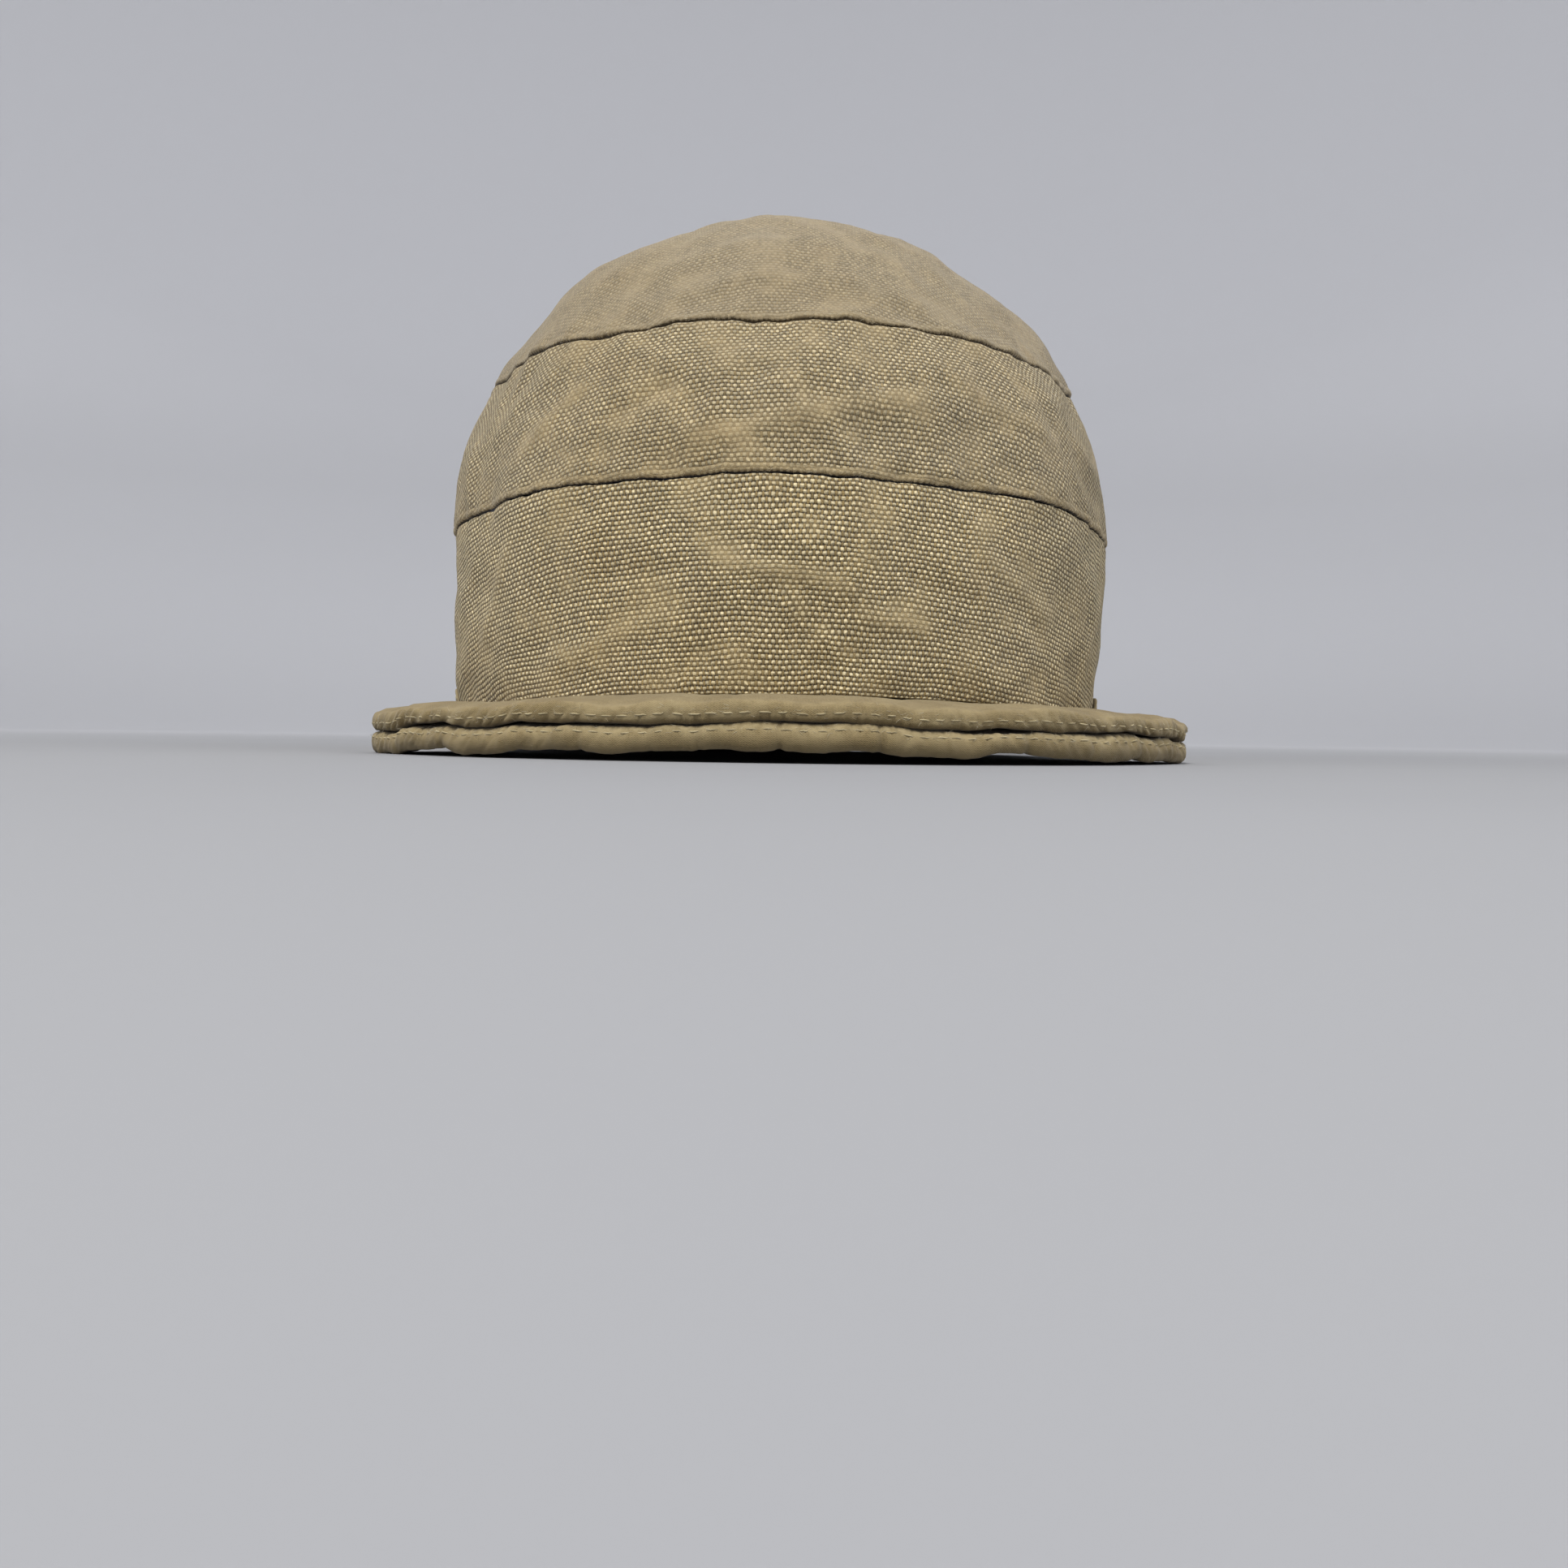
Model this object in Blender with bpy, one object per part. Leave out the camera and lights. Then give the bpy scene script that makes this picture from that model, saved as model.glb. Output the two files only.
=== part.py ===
"""Military work cap: a canvas crown of two bands and a domed top piece, a padded
peak round the front, a cloth binding round the rest of the rim, and a dark lining.

Lengths are in metres and angles in degrees. The cap is modelled on its rim plane,
front towards -Y and up along +Z, and is then laid on the ground as it rests.
"""
import math
from collections import namedtuple

import bmesh
import bpy
from mathutils import Matrix, Vector

# Driving sizes of the head hollow and the crown
HEAD_HALF_WIDTH = 0.0845
HEAD_HALF_LENGTH = 0.0995
CROWN_HEIGHT = 0.1400
LOWER_SEAM_HEIGHT = 0.0500
UPPER_SEAM_HEIGHT = 0.0900

# Cloth thicknesses and the clearance between pieces that touch
CANVAS_THICKNESS = 0.0022
LINING_THICKNESS = 0.0010
BINDING_THICKNESS = 0.0013
CLEARANCE = 0.0003

# Relief of the crown cloth
SEAM_WELT_RISE = 0.0008
SEAM_WELT_WIDTH = 0.0045
LUMP_RISE = 0.0032
LUMP_FADE_HEIGHT = 0.0250

# Binding round the rim
BINDING_OUTER_HEIGHT = 0.0085
BINDING_INNER_HEIGHT = 0.0060
BINDING_TO_PEAK = 0.0008

# Peak
PEAK_HALF_ANGLE = 78.0
PEAK_REACH = 0.0285
PEAK_FRONT_DROOP = 0.0062
PEAK_SIDE_DROOP = 0.0045
UPPER_ROOT_THICKNESS = 0.0020
UPPER_EDGE_THICKNESS = 0.0046
LOWER_ROOT_THICKNESS = 0.0036
LOWER_EDGE_THICKNESS = 0.0056
ROLL_PROUD = 0.0007
EDGE_SLIT_DEPTH = 0.0024
NOTCH_DEPTH = 0.0014
NOTCH_HALF_ANGLE = 1.3
FOLD_DEPTH = 0.0022
FOLD_HALF_ANGLE = 3.4
FOLD_END_SOFTNESS = 0.7

# Where the faces of the peak's section lie: as shares of its flat part, outwards on top
# and inwards underneath, and the rounding of its edge as a share of the edge's radius
UPPER_PAD_SHARES = (0.25, 0.50, 0.75)
LOWER_PAD_SHARES = (0.80, 0.60, 0.42, 0.24, 0.08)
EDGE_ROUNDING = 0.30
SHORT_REACH_SHARE = 0.45

# How far the cloth is pressed flat where the cap rests
REST_FLATTENING = 0.0005

# Counts of faces
CROWN_SEGMENTS = 56
PEAK_STATIONS = 54
BINDING_STATIONS = 34

# Crown sections from the rim to the top: height as a share of CROWN_HEIGHT, half width
# and half length as shares of the rim's own
Section = namedtuple("Section", "height width length")
CROWN_SECTIONS = (
    Section(0.000, 1.000, 1.000),
    Section(0.200, 1.024, 1.005),
    Section(0.360, 1.040, 1.002),
    Section(0.480, 1.024, 0.970),
    Section(0.565, 0.986, 0.920),
    Section(0.652, 0.924, 0.852),
    Section(0.732, 0.858, 0.772),
    Section(0.804, 0.761, 0.684),
    Section(0.870, 0.648, 0.583),
    Section(0.920, 0.517, 0.466),
    Section(0.964, 0.341, 0.311),
    Section(0.989, 0.170, 0.155),
    Section(1.000, 0.000, 0.000),
)

# Soft lumps (+) and dents (-) of the worn crown: where they lie, how far they rise as a
# share of LUMP_RISE, and how far they spread in degrees and as a share of CROWN_HEIGHT
Lump = namedtuple("Lump", "angle height rise spread_angle spread_height")
CROWN_LUMPS = (
    Lump(0, 0.520, 0.40, 34, 0.035),
    Lump(-38, 0.500, -0.55, 14, 0.060),
    Lump(-62, 0.585, -0.50, 13, 0.060),
    Lump(42, 0.560, 0.35, 16, 0.060),
    Lump(12, 0.230, 0.40, 16, 0.070),
    Lump(-24, 0.200, -0.35, 18, 0.070),
    Lump(58, 0.300, -0.40, 14, 0.080),
    Lump(-92, 0.720, 0.45, 14, 0.045),
    Lump(-68, 0.765, -0.75, 11, 0.050),
    Lump(-38, 0.830, 0.55, 18, 0.060),
    Lump(4, 0.790, 0.35, 22, 0.050),
    Lump(78, 0.790, 0.95, 20, 0.050),
    Lump(112, 0.640, -0.60, 18, 0.070),
    Lump(150, 0.800, 0.55, 20, 0.060),
    Lump(178, 0.540, -0.55, 24, 0.080),
    Lump(-140, 0.420, 0.50, 22, 0.090),
    Lump(-158, 0.780, -0.50, 18, 0.060),
    Lump(-118, 0.250, -0.45, 16, 0.080),
    Lump(126, 0.260, 0.40, 18, 0.080),
)

# Reach of the peak out of the rim: angle as a share of PEAK_HALF_ANGLE, reach as a share
# of PEAK_REACH
Reach = namedtuple("Reach", "angle reach")
PEAK_OUTLINE = (
    Reach(0.000, 1.00),
    Reach(0.385, 1.02),
    Reach(0.577, 1.02),
    Reach(0.720, 0.98),
    Reach(0.800, 0.89),
    Reach(0.865, 0.72),
    Reach(0.920, 0.49),
    Reach(0.965, 0.26),
    Reach(1.000, 0.08),
)

# Creases that the edge stitching pulls into the lower roll of the peak: depth as a share
# of NOTCH_DEPTH
Notch = namedtuple("Notch", "angle depth")
ROLL_NOTCHES = (
    Notch(-41, 0.6),
    Notch(-22, 0.5),
    Notch(-7, 0.7),
    Notch(-1.5, 0.8),
    Notch(7, 1.0),
    Notch(23, 1.0),
    Notch(43, 0.6),
)

# Folds that fan out from the inner edge of the underside: depth as a share of FOLD_DEPTH,
# start and end as shares of the reach
Fold = namedtuple("Fold", "angle depth start end")
UNDERSIDE_FOLDS = (
    Fold(-72, 0.8, 0.05, 0.75),
    Fold(-65, 1.0, -0.10, 0.50),
    Fold(-56, 1.0, -0.10, 0.42),
    Fold(-46, 0.9, -0.10, 0.38),
    Fold(-34, 0.5, -0.05, 0.45),
    Fold(-17, 0.5, -0.05, 0.40),
    Fold(15, 0.5, -0.05, 0.45),
    Fold(30, 0.7, -0.05, 0.55),
    Fold(40, 0.6, 0.00, 0.60),
    Fold(49, 0.9, -0.10, 0.55),
    Fold(57, 0.8, -0.10, 0.70),
    Fold(65, 1.0, 0.00, 0.80),
    Fold(72, 0.7, 0.05, 0.75),
)

# Sizes that follow from the driving ones
LINING_DEPTH = CANVAS_THICKNESS + CLEARANCE
WALL = LINING_DEPTH + LINING_THICKNESS
RIM_HALF_WIDTH = HEAD_HALF_WIDTH + WALL
RIM_HALF_LENGTH = HEAD_HALF_LENGTH + WALL

# Steps and limits of the sums below, which are no sizes of the cap
HALF_TURN = 180.0
FULL_TURN = 360.0
PLACE_STEP = 0.001
ANGLE_STEP = 1.0
HALVINGS = 40
STEEPEST_TILT = 20.0
SHARP_EDGE = 45.0


def smooth_step(value):
    """Ease from 0 to 1 as value goes from 0 to 1."""
    value = min(max(value, 0.0), 1.0)
    return value * value * (3.0 - 2.0 * value)


def bell(distance, spread):
    """A soft hump, 1 at the middle and close to nothing at twice the spread."""
    return math.exp(-(distance / spread) ** 2)


def angle_between(first, second):
    """The smaller angle between two directions round the crown."""
    return abs((first - second + HALF_TURN) % FULL_TURN - HALF_TURN)


def curve_value(before, start, end, after, share):
    """A smooth curve through four evenly spaced values, read between the middle two."""
    slope_in = (end - before) / 2
    slope_out = (after - start) / 2
    square = share * share
    cube = square * share
    return (
        start * (2 * cube - 3 * square + 1)
        + slope_in * (cube - 2 * square + share)
        + end * (3 * square - 2 * cube)
        + slope_out * (cube - square)
    )


def crown_section(place):
    """Height, half width and half length of the outer cloth; place counts table rows."""
    last = len(CROWN_SECTIONS) - 1
    if place <= 0.0:
        rim_drop = place * CROWN_HEIGHT
        return rim_drop, RIM_HALF_WIDTH, RIM_HALF_LENGTH
    row = min(int(place), last - 1)
    share = place - row
    rows = [CROWN_SECTIONS[min(max(row + offset, 0), last)] for offset in (-1, 0, 1, 2)]
    values = []
    for column in zip(*rows):
        values.append(curve_value(*column, share))
    height, width, length = values
    return height * CROWN_HEIGHT, width * RIM_HALF_WIDTH, length * RIM_HALF_LENGTH


def place_of_height(height):
    """The place in the section table where the crown reaches a height."""
    if height <= 0.0:
        return height / CROWN_HEIGHT
    low = 0.0
    high = float(len(CROWN_SECTIONS) - 1)
    for _ in range(HALVINGS):
        middle = (low + high) / 2
        if crown_section(middle)[0] < height:
            low = middle
        else:
            high = middle
    return (low + high) / 2


def bare_point(place, angle):
    """A point of the outer cloth before lumps; angle 0 is the front, +90 is +X."""
    height, half_width, half_length = crown_section(place)
    turn = math.radians(angle)
    return Vector((half_width * math.sin(turn), -half_length * math.cos(turn), height))


def outward(place, angle):
    """The direction that points out of the cloth."""
    top = float(len(CROWN_SECTIONS) - 1)
    if place >= top:
        return Vector((0.0, 0.0, 1.0))
    above = min(place + PLACE_STEP, top)
    below = above - 2 * PLACE_STEP
    along = bare_point(above, angle) - bare_point(below, angle)
    around = bare_point(place, angle + ANGLE_STEP) - bare_point(place, angle - ANGLE_STEP)
    return around.cross(along).normalized()


def lump_rise(place, angle):
    """How far the lumps and dents move the cloth out at a place."""
    height = crown_section(place)[0]
    rise = 0.0
    for lump in CROWN_LUMPS:
        across = bell(angle_between(angle, lump.angle), lump.spread_angle)
        upward = bell(height / CROWN_HEIGHT - lump.height, lump.spread_height)
        rise += lump.rise * across * upward
    return rise * LUMP_RISE * smooth_step(height / LUMP_FADE_HEIGHT)


def skin_point(place, angle, depth=0.0):
    """A point of the crown at a depth below its outer cloth, or outside it below zero."""
    shift = lump_rise(place, angle) - depth
    return bare_point(place, angle) + shift * outward(place, angle)


def ring(place, depth):
    """One ring of points round the crown."""
    step = FULL_TURN / CROWN_SEGMENTS
    return [skin_point(place, index * step, depth) for index in range(CROWN_SEGMENTS)]


def spaced(start, end, count):
    """Evenly spaced values from start to end, both of them included."""
    return [start + (end - start) * index / (count - 1) for index in range(count)]


def rim_point(angle, distance, height):
    """A point beside the rim: distance runs out of the crown's outer cloth."""
    turn = math.radians(angle)
    normal = Vector((math.sin(turn) / RIM_HALF_WIDTH, -math.cos(turn) / RIM_HALF_LENGTH, 0.0))
    edge = Vector((RIM_HALF_WIDTH * math.sin(turn), -RIM_HALF_LENGTH * math.cos(turn), height))
    return edge + distance * normal.normalized()


def make_material(name, colour, roughness):
    """A plain cloth material for one sub-part."""
    material = bpy.data.materials.new(name)
    material.use_nodes = True
    shader = material.node_tree.nodes["Principled BSDF"]
    shader.inputs["Base Color"].default_value = (*colour, 1.0)
    shader.inputs["Roughness"].default_value = roughness
    shader.inputs["Metallic"].default_value = 0.0
    material.diffuse_color = (*colour, 1.0)
    return material


def add_object(name, mesh_data, material):
    """Turn a finished bmesh into a smooth-shaded object."""
    bmesh.ops.recalc_face_normals(mesh_data, faces=mesh_data.faces)
    mesh = bpy.data.meshes.new(name)
    mesh_data.to_mesh(mesh)
    mesh_data.free()
    mesh.materials.append(material)
    mesh.shade_smooth()
    mesh.set_sharp_from_angle(angle=math.radians(SHARP_EDGE))
    piece = bpy.data.objects.new(name, mesh)
    bpy.context.scene.collection.objects.link(piece)
    return piece


def join_rows(mesh_data, first, second):
    """Span two closed rows of vertices with triangles that all slant one way, so that
    skins that lie against each other fold along the same lines."""
    count = len(first)
    for index in range(count):
        following = (index + 1) % count
        mesh_data.faces.new((first[index], first[following], second[following]))
        mesh_data.faces.new((first[index], second[following], second[index]))


def sweep(name, rows, material, rows_closed):
    """A solid from closed rows of points, each row joined to the next."""
    mesh_data = bmesh.new()
    made = []
    for row in rows:
        made.append([mesh_data.verts.new(point) for point in row])
    for first, second in zip(made, made[1:]):
        join_rows(mesh_data, first, second)
    if rows_closed:
        join_rows(mesh_data, made[-1], made[0])
    else:
        mesh_data.faces.new(made[0])
        mesh_data.faces.new(reversed(made[-1]))
    return add_object(name, mesh_data, material)


def make_dome(name, outer_rings, inner_rings, outer_top, inner_top, material):
    """A domed wall: both skins close at the top and meet round the lower edge."""
    mesh_data = bmesh.new()
    skins = []
    for rings, top in ((outer_rings, outer_top), (inner_rings, inner_top)):
        rows = []
        for points in rings:
            rows.append([mesh_data.verts.new(point) for point in points])
        for first, second in zip(rows, rows[1:]):
            join_rows(mesh_data, first, second)
        pole = mesh_data.verts.new(top)
        last = rows[-1]
        for index, vertex in enumerate(last):
            mesh_data.faces.new((vertex, last[(index + 1) % len(last)], pole))
        skins.append(rows)
    join_rows(mesh_data, skins[0][0], skins[1][0])
    return add_object(name, mesh_data, material)


# Places of the seams in the section table, with the clearance that the cut edges keep
RIM_PLACE = 0.0
TOP_PLACE = float(len(CROWN_SECTIONS) - 1)
LOWER_BAND_TOP = place_of_height(LOWER_SEAM_HEIGHT)
UPPER_BAND_BOTTOM = place_of_height(LOWER_SEAM_HEIGHT + CLEARANCE)
UPPER_BAND_TOP = place_of_height(UPPER_SEAM_HEIGHT)
TOP_PIECE_BOTTOM = place_of_height(UPPER_SEAM_HEIGHT + CLEARANCE)

# Rows of the hidden inner side of each piece, shared with the lining under it
LOWER_BAND_INNER = spaced(RIM_PLACE, LOWER_BAND_TOP, 4)
UPPER_BAND_INNER = spaced(UPPER_BAND_BOTTOM, UPPER_BAND_TOP, 4)
TOP_PIECE_INNER = spaced(TOP_PIECE_BOTTOM, TOP_PLACE, 7)[:-1]
LINING_OUTER = LOWER_BAND_INNER + UPPER_BAND_INNER + TOP_PIECE_INNER
LINING_INNER = LOWER_BAND_INNER + UPPER_BAND_INNER[1:] + TOP_PIECE_INNER[1:]


def welted_rings(bottom, top, count):
    """Outer rings of a piece whose lower edge is turned under and stands a little proud."""
    bottom_height = crown_section(bottom)[0]
    welt_middle = place_of_height(bottom_height + SEAM_WELT_WIDTH / 2)
    welt_end = place_of_height(bottom_height + SEAM_WELT_WIDTH)
    rings = [ring(bottom, -SEAM_WELT_RISE / 2), ring(welt_middle, -SEAM_WELT_RISE)]
    for place in spaced(welt_end, top, count):
        rings.append(ring(place, 0.0))
    return rings


def make_lower_band(material):
    """The canvas band that rises from the rim."""
    outer = [ring(place, 0.0) for place in spaced(RIM_PLACE, LOWER_BAND_TOP, 6)]
    inner = [ring(place, CANVAS_THICKNESS) for place in LOWER_BAND_INNER]
    return sweep("crown_lower_band", inner + outer[::-1], material, True)


def make_upper_band(material):
    """The canvas band above it, which narrows towards the top piece."""
    outer = welted_rings(UPPER_BAND_BOTTOM, UPPER_BAND_TOP, 5)
    inner = [ring(place, CANVAS_THICKNESS) for place in UPPER_BAND_INNER]
    return sweep("crown_upper_band", inner + outer[::-1], material, True)


def make_top_piece(material):
    """The domed top of the crown."""
    outer = welted_rings(TOP_PIECE_BOTTOM, TOP_PLACE, 8)[:-1]
    inner = [ring(place, CANVAS_THICKNESS) for place in TOP_PIECE_INNER]
    outer_top = skin_point(TOP_PLACE, 0.0)
    inner_top = skin_point(TOP_PLACE, 0.0, CANVAS_THICKNESS)
    return make_dome("crown_top", outer, inner, outer_top, inner_top, material)


def make_lining(material):
    """The dark lining behind the whole crown."""
    outer = [ring(place, LINING_DEPTH) for place in LINING_OUTER]
    inner = [ring(place, WALL) for place in LINING_INNER]
    outer_top = skin_point(TOP_PLACE, 0.0, LINING_DEPTH)
    inner_top = skin_point(TOP_PLACE, 0.0, WALL)
    return make_dome("lining", outer, inner, outer_top, inner_top, material)


def binding_section(angle):
    """The channel that holds the cloth edges at one place of the rim."""
    outer = CLEARANCE + BINDING_THICKNESS
    inner = WALL + CLEARANCE + BINDING_THICKNESS
    floor = -CLEARANCE - BINDING_THICKNESS
    middle = WALL / 2
    corner = BINDING_THICKNESS / 2
    outer_top = place_of_height(BINDING_OUTER_HEIGHT)
    inner_top = place_of_height(BINDING_INNER_HEIGHT)
    return [
        skin_point(outer_top, angle, -outer),
        skin_point(place_of_height(BINDING_OUTER_HEIGHT / 2), angle, -outer),
        rim_point(angle, outer, -CLEARANCE),
        rim_point(angle, outer - corner, floor + corner / 2),
        rim_point(angle, -middle, floor),
        rim_point(angle, corner - inner, floor + corner / 2),
        rim_point(angle, -inner, -CLEARANCE),
        skin_point(inner_top, angle, inner),
        skin_point(inner_top, angle, WALL + CLEARANCE),
        rim_point(angle, -WALL - CLEARANCE, -CLEARANCE),
        rim_point(angle, CLEARANCE, -CLEARANCE),
        skin_point(place_of_height(BINDING_OUTER_HEIGHT / 2), angle, -CLEARANCE),
        skin_point(outer_top, angle, -CLEARANCE),
    ]


def make_binding(material):
    """The folded cloth strip that finishes the rim behind the peak."""
    beside_peak = math.degrees(BINDING_TO_PEAK / RIM_HALF_LENGTH)
    start = PEAK_HALF_ANGLE + beside_peak
    angles = spaced(start, FULL_TURN - start, BINDING_STATIONS)
    rows = [binding_section(angle) for angle in angles]
    return sweep("rim_binding", rows, material, False)


def peak_reach(angle):
    """How far the peak stands out of the rim at an angle."""
    share = min(abs(angle) / PEAK_HALF_ANGLE, 1.0)
    row = 0
    while row < len(PEAK_OUTLINE) - 2 and share > PEAK_OUTLINE[row + 1].angle:
        row += 1
    start = PEAK_OUTLINE[row]
    end = PEAK_OUTLINE[row + 1]
    before = PEAK_OUTLINE[max(row - 1, 0)]
    after = PEAK_OUTLINE[min(row + 2, len(PEAK_OUTLINE) - 1)]
    local = (share - start.angle) / (end.angle - start.angle)
    return PEAK_REACH * curve_value(before.reach, start.reach, end.reach, after.reach, local)


def parting_height(angle, share):
    """Height of the joint between the two layers, share 0 at the crown and 1 at the edge."""
    sideways = smooth_step(abs(angle) / PEAK_HALF_ANGLE)
    droop = PEAK_FRONT_DROOP + (PEAK_SIDE_DROOP - PEAK_FRONT_DROOP) * sideways
    reach_share = peak_reach(angle) / PEAK_REACH
    fall = max(share, 0.0) * min(reach_share, 1.0)
    return -CLEARANCE - UPPER_ROOT_THICKNESS - droop * fall


def padding(root, edge, share):
    """Thickness of a layer, which fills out towards its edge."""
    return root + (edge - root) * smooth_step(share)


def notch_depth(angle):
    """How deep the stitching creases the lower roll at an angle."""
    depth = 0.0
    for notch in ROLL_NOTCHES:
        depth += notch.depth * bell(angle - notch.angle, NOTCH_HALF_ANGLE)
    return depth * NOTCH_DEPTH


def fold_depth(angle, share):
    """How deep the folds of the underside are at a place."""
    depth = 0.0
    for fold in UNDERSIDE_FOLDS:
        middle = (fold.start + fold.end) / 2
        half_length = (fold.end - fold.start) / 2
        beyond = abs(share - middle) / half_length - (1.0 - FOLD_END_SOFTNESS)
        lengthways = 1.0 - smooth_step(beyond / FOLD_END_SOFTNESS)
        depth += fold.depth * bell(angle - fold.angle, FOLD_HALF_ANGLE) * lengthways
    return depth * FOLD_DEPTH


def edge_sizes(angle, root_thickness, full_thickness):
    """Thickness, rounding and slit of one layer at the edge, less where the peak is short."""
    reach = peak_reach(angle)
    thickness = padding(root_thickness, full_thickness, reach / PEAK_REACH)
    radius = min(thickness / 2, reach * SHORT_REACH_SHARE)
    slit = min(EDGE_SLIT_DEPTH, reach * SHORT_REACH_SHARE)
    return thickness, radius, slit


def upper_section(angle):
    """Outline of the peak's upper layer at one place."""
    reach = peak_reach(angle)
    thickness, radius, slit = edge_sizes(angle, UPPER_ROOT_THICKNESS, UPPER_EDGE_THICKNESS)
    lift = CLEARANCE / 2
    root = parting_height(angle, 0.0) + lift
    edge = parting_height(angle, 1.0) + lift
    points = [(-WALL, -CLEARANCE), (0.0, -CLEARANCE)]
    for part in UPPER_PAD_SHARES:
        distance = part * (reach - radius)
        pad = padding(UPPER_ROOT_THICKNESS, thickness, part)
        points.append((distance, parting_height(angle, distance / reach) + pad))
    points += [
        (reach - radius, edge + thickness),
        (reach - radius * EDGE_ROUNDING, edge + thickness - radius * EDGE_ROUNDING),
        (reach, edge + thickness / 2),
        (reach - radius * EDGE_ROUNDING, edge + radius * EDGE_ROUNDING),
        (reach - slit, edge),
        (reach / 2, parting_height(angle, 0.5) + lift),
        (0.0, root),
        (-WALL, root),
    ]
    return [rim_point(angle, distance, height) for distance, height in points]


def lower_section(angle):
    """Outline of the padded lower layer at one place, with its roll, notches and folds."""
    reach = peak_reach(angle)
    thickness, radius, slit = edge_sizes(angle, LOWER_ROOT_THICKNESS, LOWER_EDGE_THICKNESS)
    root = parting_height(angle, 0.0) - CLEARANCE / 2
    edge = parting_height(angle, 1.0) - CLEARANCE / 2
    notch = min(notch_depth(angle), radius / 2)
    points = [
        (-WALL, root),
        (0.0, root),
        (reach / 2, parting_height(angle, 0.5) - CLEARANCE / 2),
        (reach - slit, edge),
        (reach - radius * EDGE_ROUNDING - notch, edge - radius * EDGE_ROUNDING),
        (reach - notch, edge - thickness / 2),
        (reach - radius * EDGE_ROUNDING - notch, edge - thickness + radius * EDGE_ROUNDING),
        (reach - radius, edge - thickness + notch / 2),
    ]
    for part in LOWER_PAD_SHARES:
        distance = part * (reach - radius)
        share = distance / reach
        pad = padding(LOWER_ROOT_THICKNESS, thickness - ROLL_PROUD, part)
        pad -= fold_depth(angle, share)
        points.append((distance, parting_height(angle, share) - CLEARANCE / 2 - pad))
    root_pad = LOWER_ROOT_THICKNESS - fold_depth(angle, 0.0)
    points += [(-WALL / 2, root - root_pad), (-WALL, root - root_pad / 2)]
    return [rim_point(angle, distance, height) for distance, height in points]


def make_peak_upper(material):
    """The upper layer of the peak, which the front of the crown stands on."""
    angles = spaced(-PEAK_HALF_ANGLE, PEAK_HALF_ANGLE, PEAK_STATIONS)
    rows = [upper_section(angle) for angle in angles]
    return sweep("peak_upper", rows, material, False)


def make_peak_lower(material):
    """The padded lower layer, with extra stations at its notches."""
    angles = spaced(-PEAK_HALF_ANGLE, PEAK_HALF_ANGLE, PEAK_STATIONS)
    for notch in ROLL_NOTCHES:
        near = [angle for angle in angles if abs(angle - notch.angle) < NOTCH_HALF_ANGLE]
        angles = [angle for angle in angles if angle not in near]
        angles += [notch.angle - NOTCH_HALF_ANGLE, notch.angle, notch.angle + NOTCH_HALF_ANGLE]
    rows = [lower_section(angle) for angle in sorted(angles)]
    return sweep("peak_lower", rows, material, False)


def lowest(piece, turn):
    """Height of a piece's lowest point once it is turned."""
    return min((turn @ vertex.co).z for vertex in piece.data.vertices)


def rest_tilt(front, back):
    """The turn about X that brings the peak and the back of the rim to one height."""
    low = math.radians(-STEEPEST_TILT)
    high = math.radians(STEEPEST_TILT)
    for _ in range(HALVINGS):
        middle = (low + high) / 2
        turn = Matrix.Rotation(middle, 4, "X")
        if lowest(front, turn) > lowest(back, turn):
            low = middle
        else:
            high = middle
    return Matrix.Rotation((low + high) / 2, 4, "X")


def lay_down(pieces, turn, ground):
    """Turn the pieces, set them on the ground and centre them over the origin."""
    corners = []
    for piece in pieces:
        for vertex in piece.data.vertices:
            vertex.co = turn @ vertex.co
            vertex.co.z = max(vertex.co.z - ground - REST_FLATTENING, 0.0)
            corners.append(vertex.co.copy())
    middle_x = (min(corner.x for corner in corners) + max(corner.x for corner in corners)) / 2
    middle_y = (min(corner.y for corner in corners) + max(corner.y for corner in corners)) / 2
    for piece in pieces:
        for vertex in piece.data.vertices:
            vertex.co.x -= middle_x
            vertex.co.y -= middle_y


def main():
    """Build the cap from its sub-parts."""
    for old in list(bpy.data.objects):
        bpy.data.objects.remove(old)
    canvas = (0.337, 0.262, 0.153)
    worn_canvas = (0.400, 0.335, 0.220)
    facing = (0.262, 0.203, 0.118)
    navy = (0.012, 0.013, 0.024)
    lower_band = make_lower_band(make_material("canvas_lower", canvas, 0.92))
    upper_band = make_upper_band(make_material("canvas_upper", canvas, 0.92))
    top_piece = make_top_piece(make_material("canvas_top", worn_canvas, 0.90))
    peak_upper = make_peak_upper(make_material("peak_cloth_upper", facing, 0.88))
    peak_lower = make_peak_lower(make_material("peak_cloth_lower", facing, 0.88))
    binding = make_binding(make_material("binding_cloth", facing, 0.88))
    lining = make_lining(make_material("lining_cloth", navy, 0.85))
    turn = rest_tilt(peak_lower, binding)
    ground = lowest(binding, turn)
    pieces = [lower_band, upper_band, top_piece, peak_upper, peak_lower, binding, lining]
    lay_down(pieces, turn, ground)


main()
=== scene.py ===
"""Looks of the military work cap: two canvas bands and a worn top piece, a padded peak with a
slit edge, a bound rim and a dark lining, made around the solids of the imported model.

Lengths are in metres and angles in degrees; weave coordinates are in millimetres. Pieces are
made in the cap's own frame, which has the rim in the plane z = 0 and the front towards -Y,
and are then laid down as the solids lie. Angle 0 is the front and +90 is +X.
"""
import math
from collections import namedtuple

import bpy
import numpy as np
from mathutils import Matrix, Vector, noise
from mathutils.bvhtree import BVHTree


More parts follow.
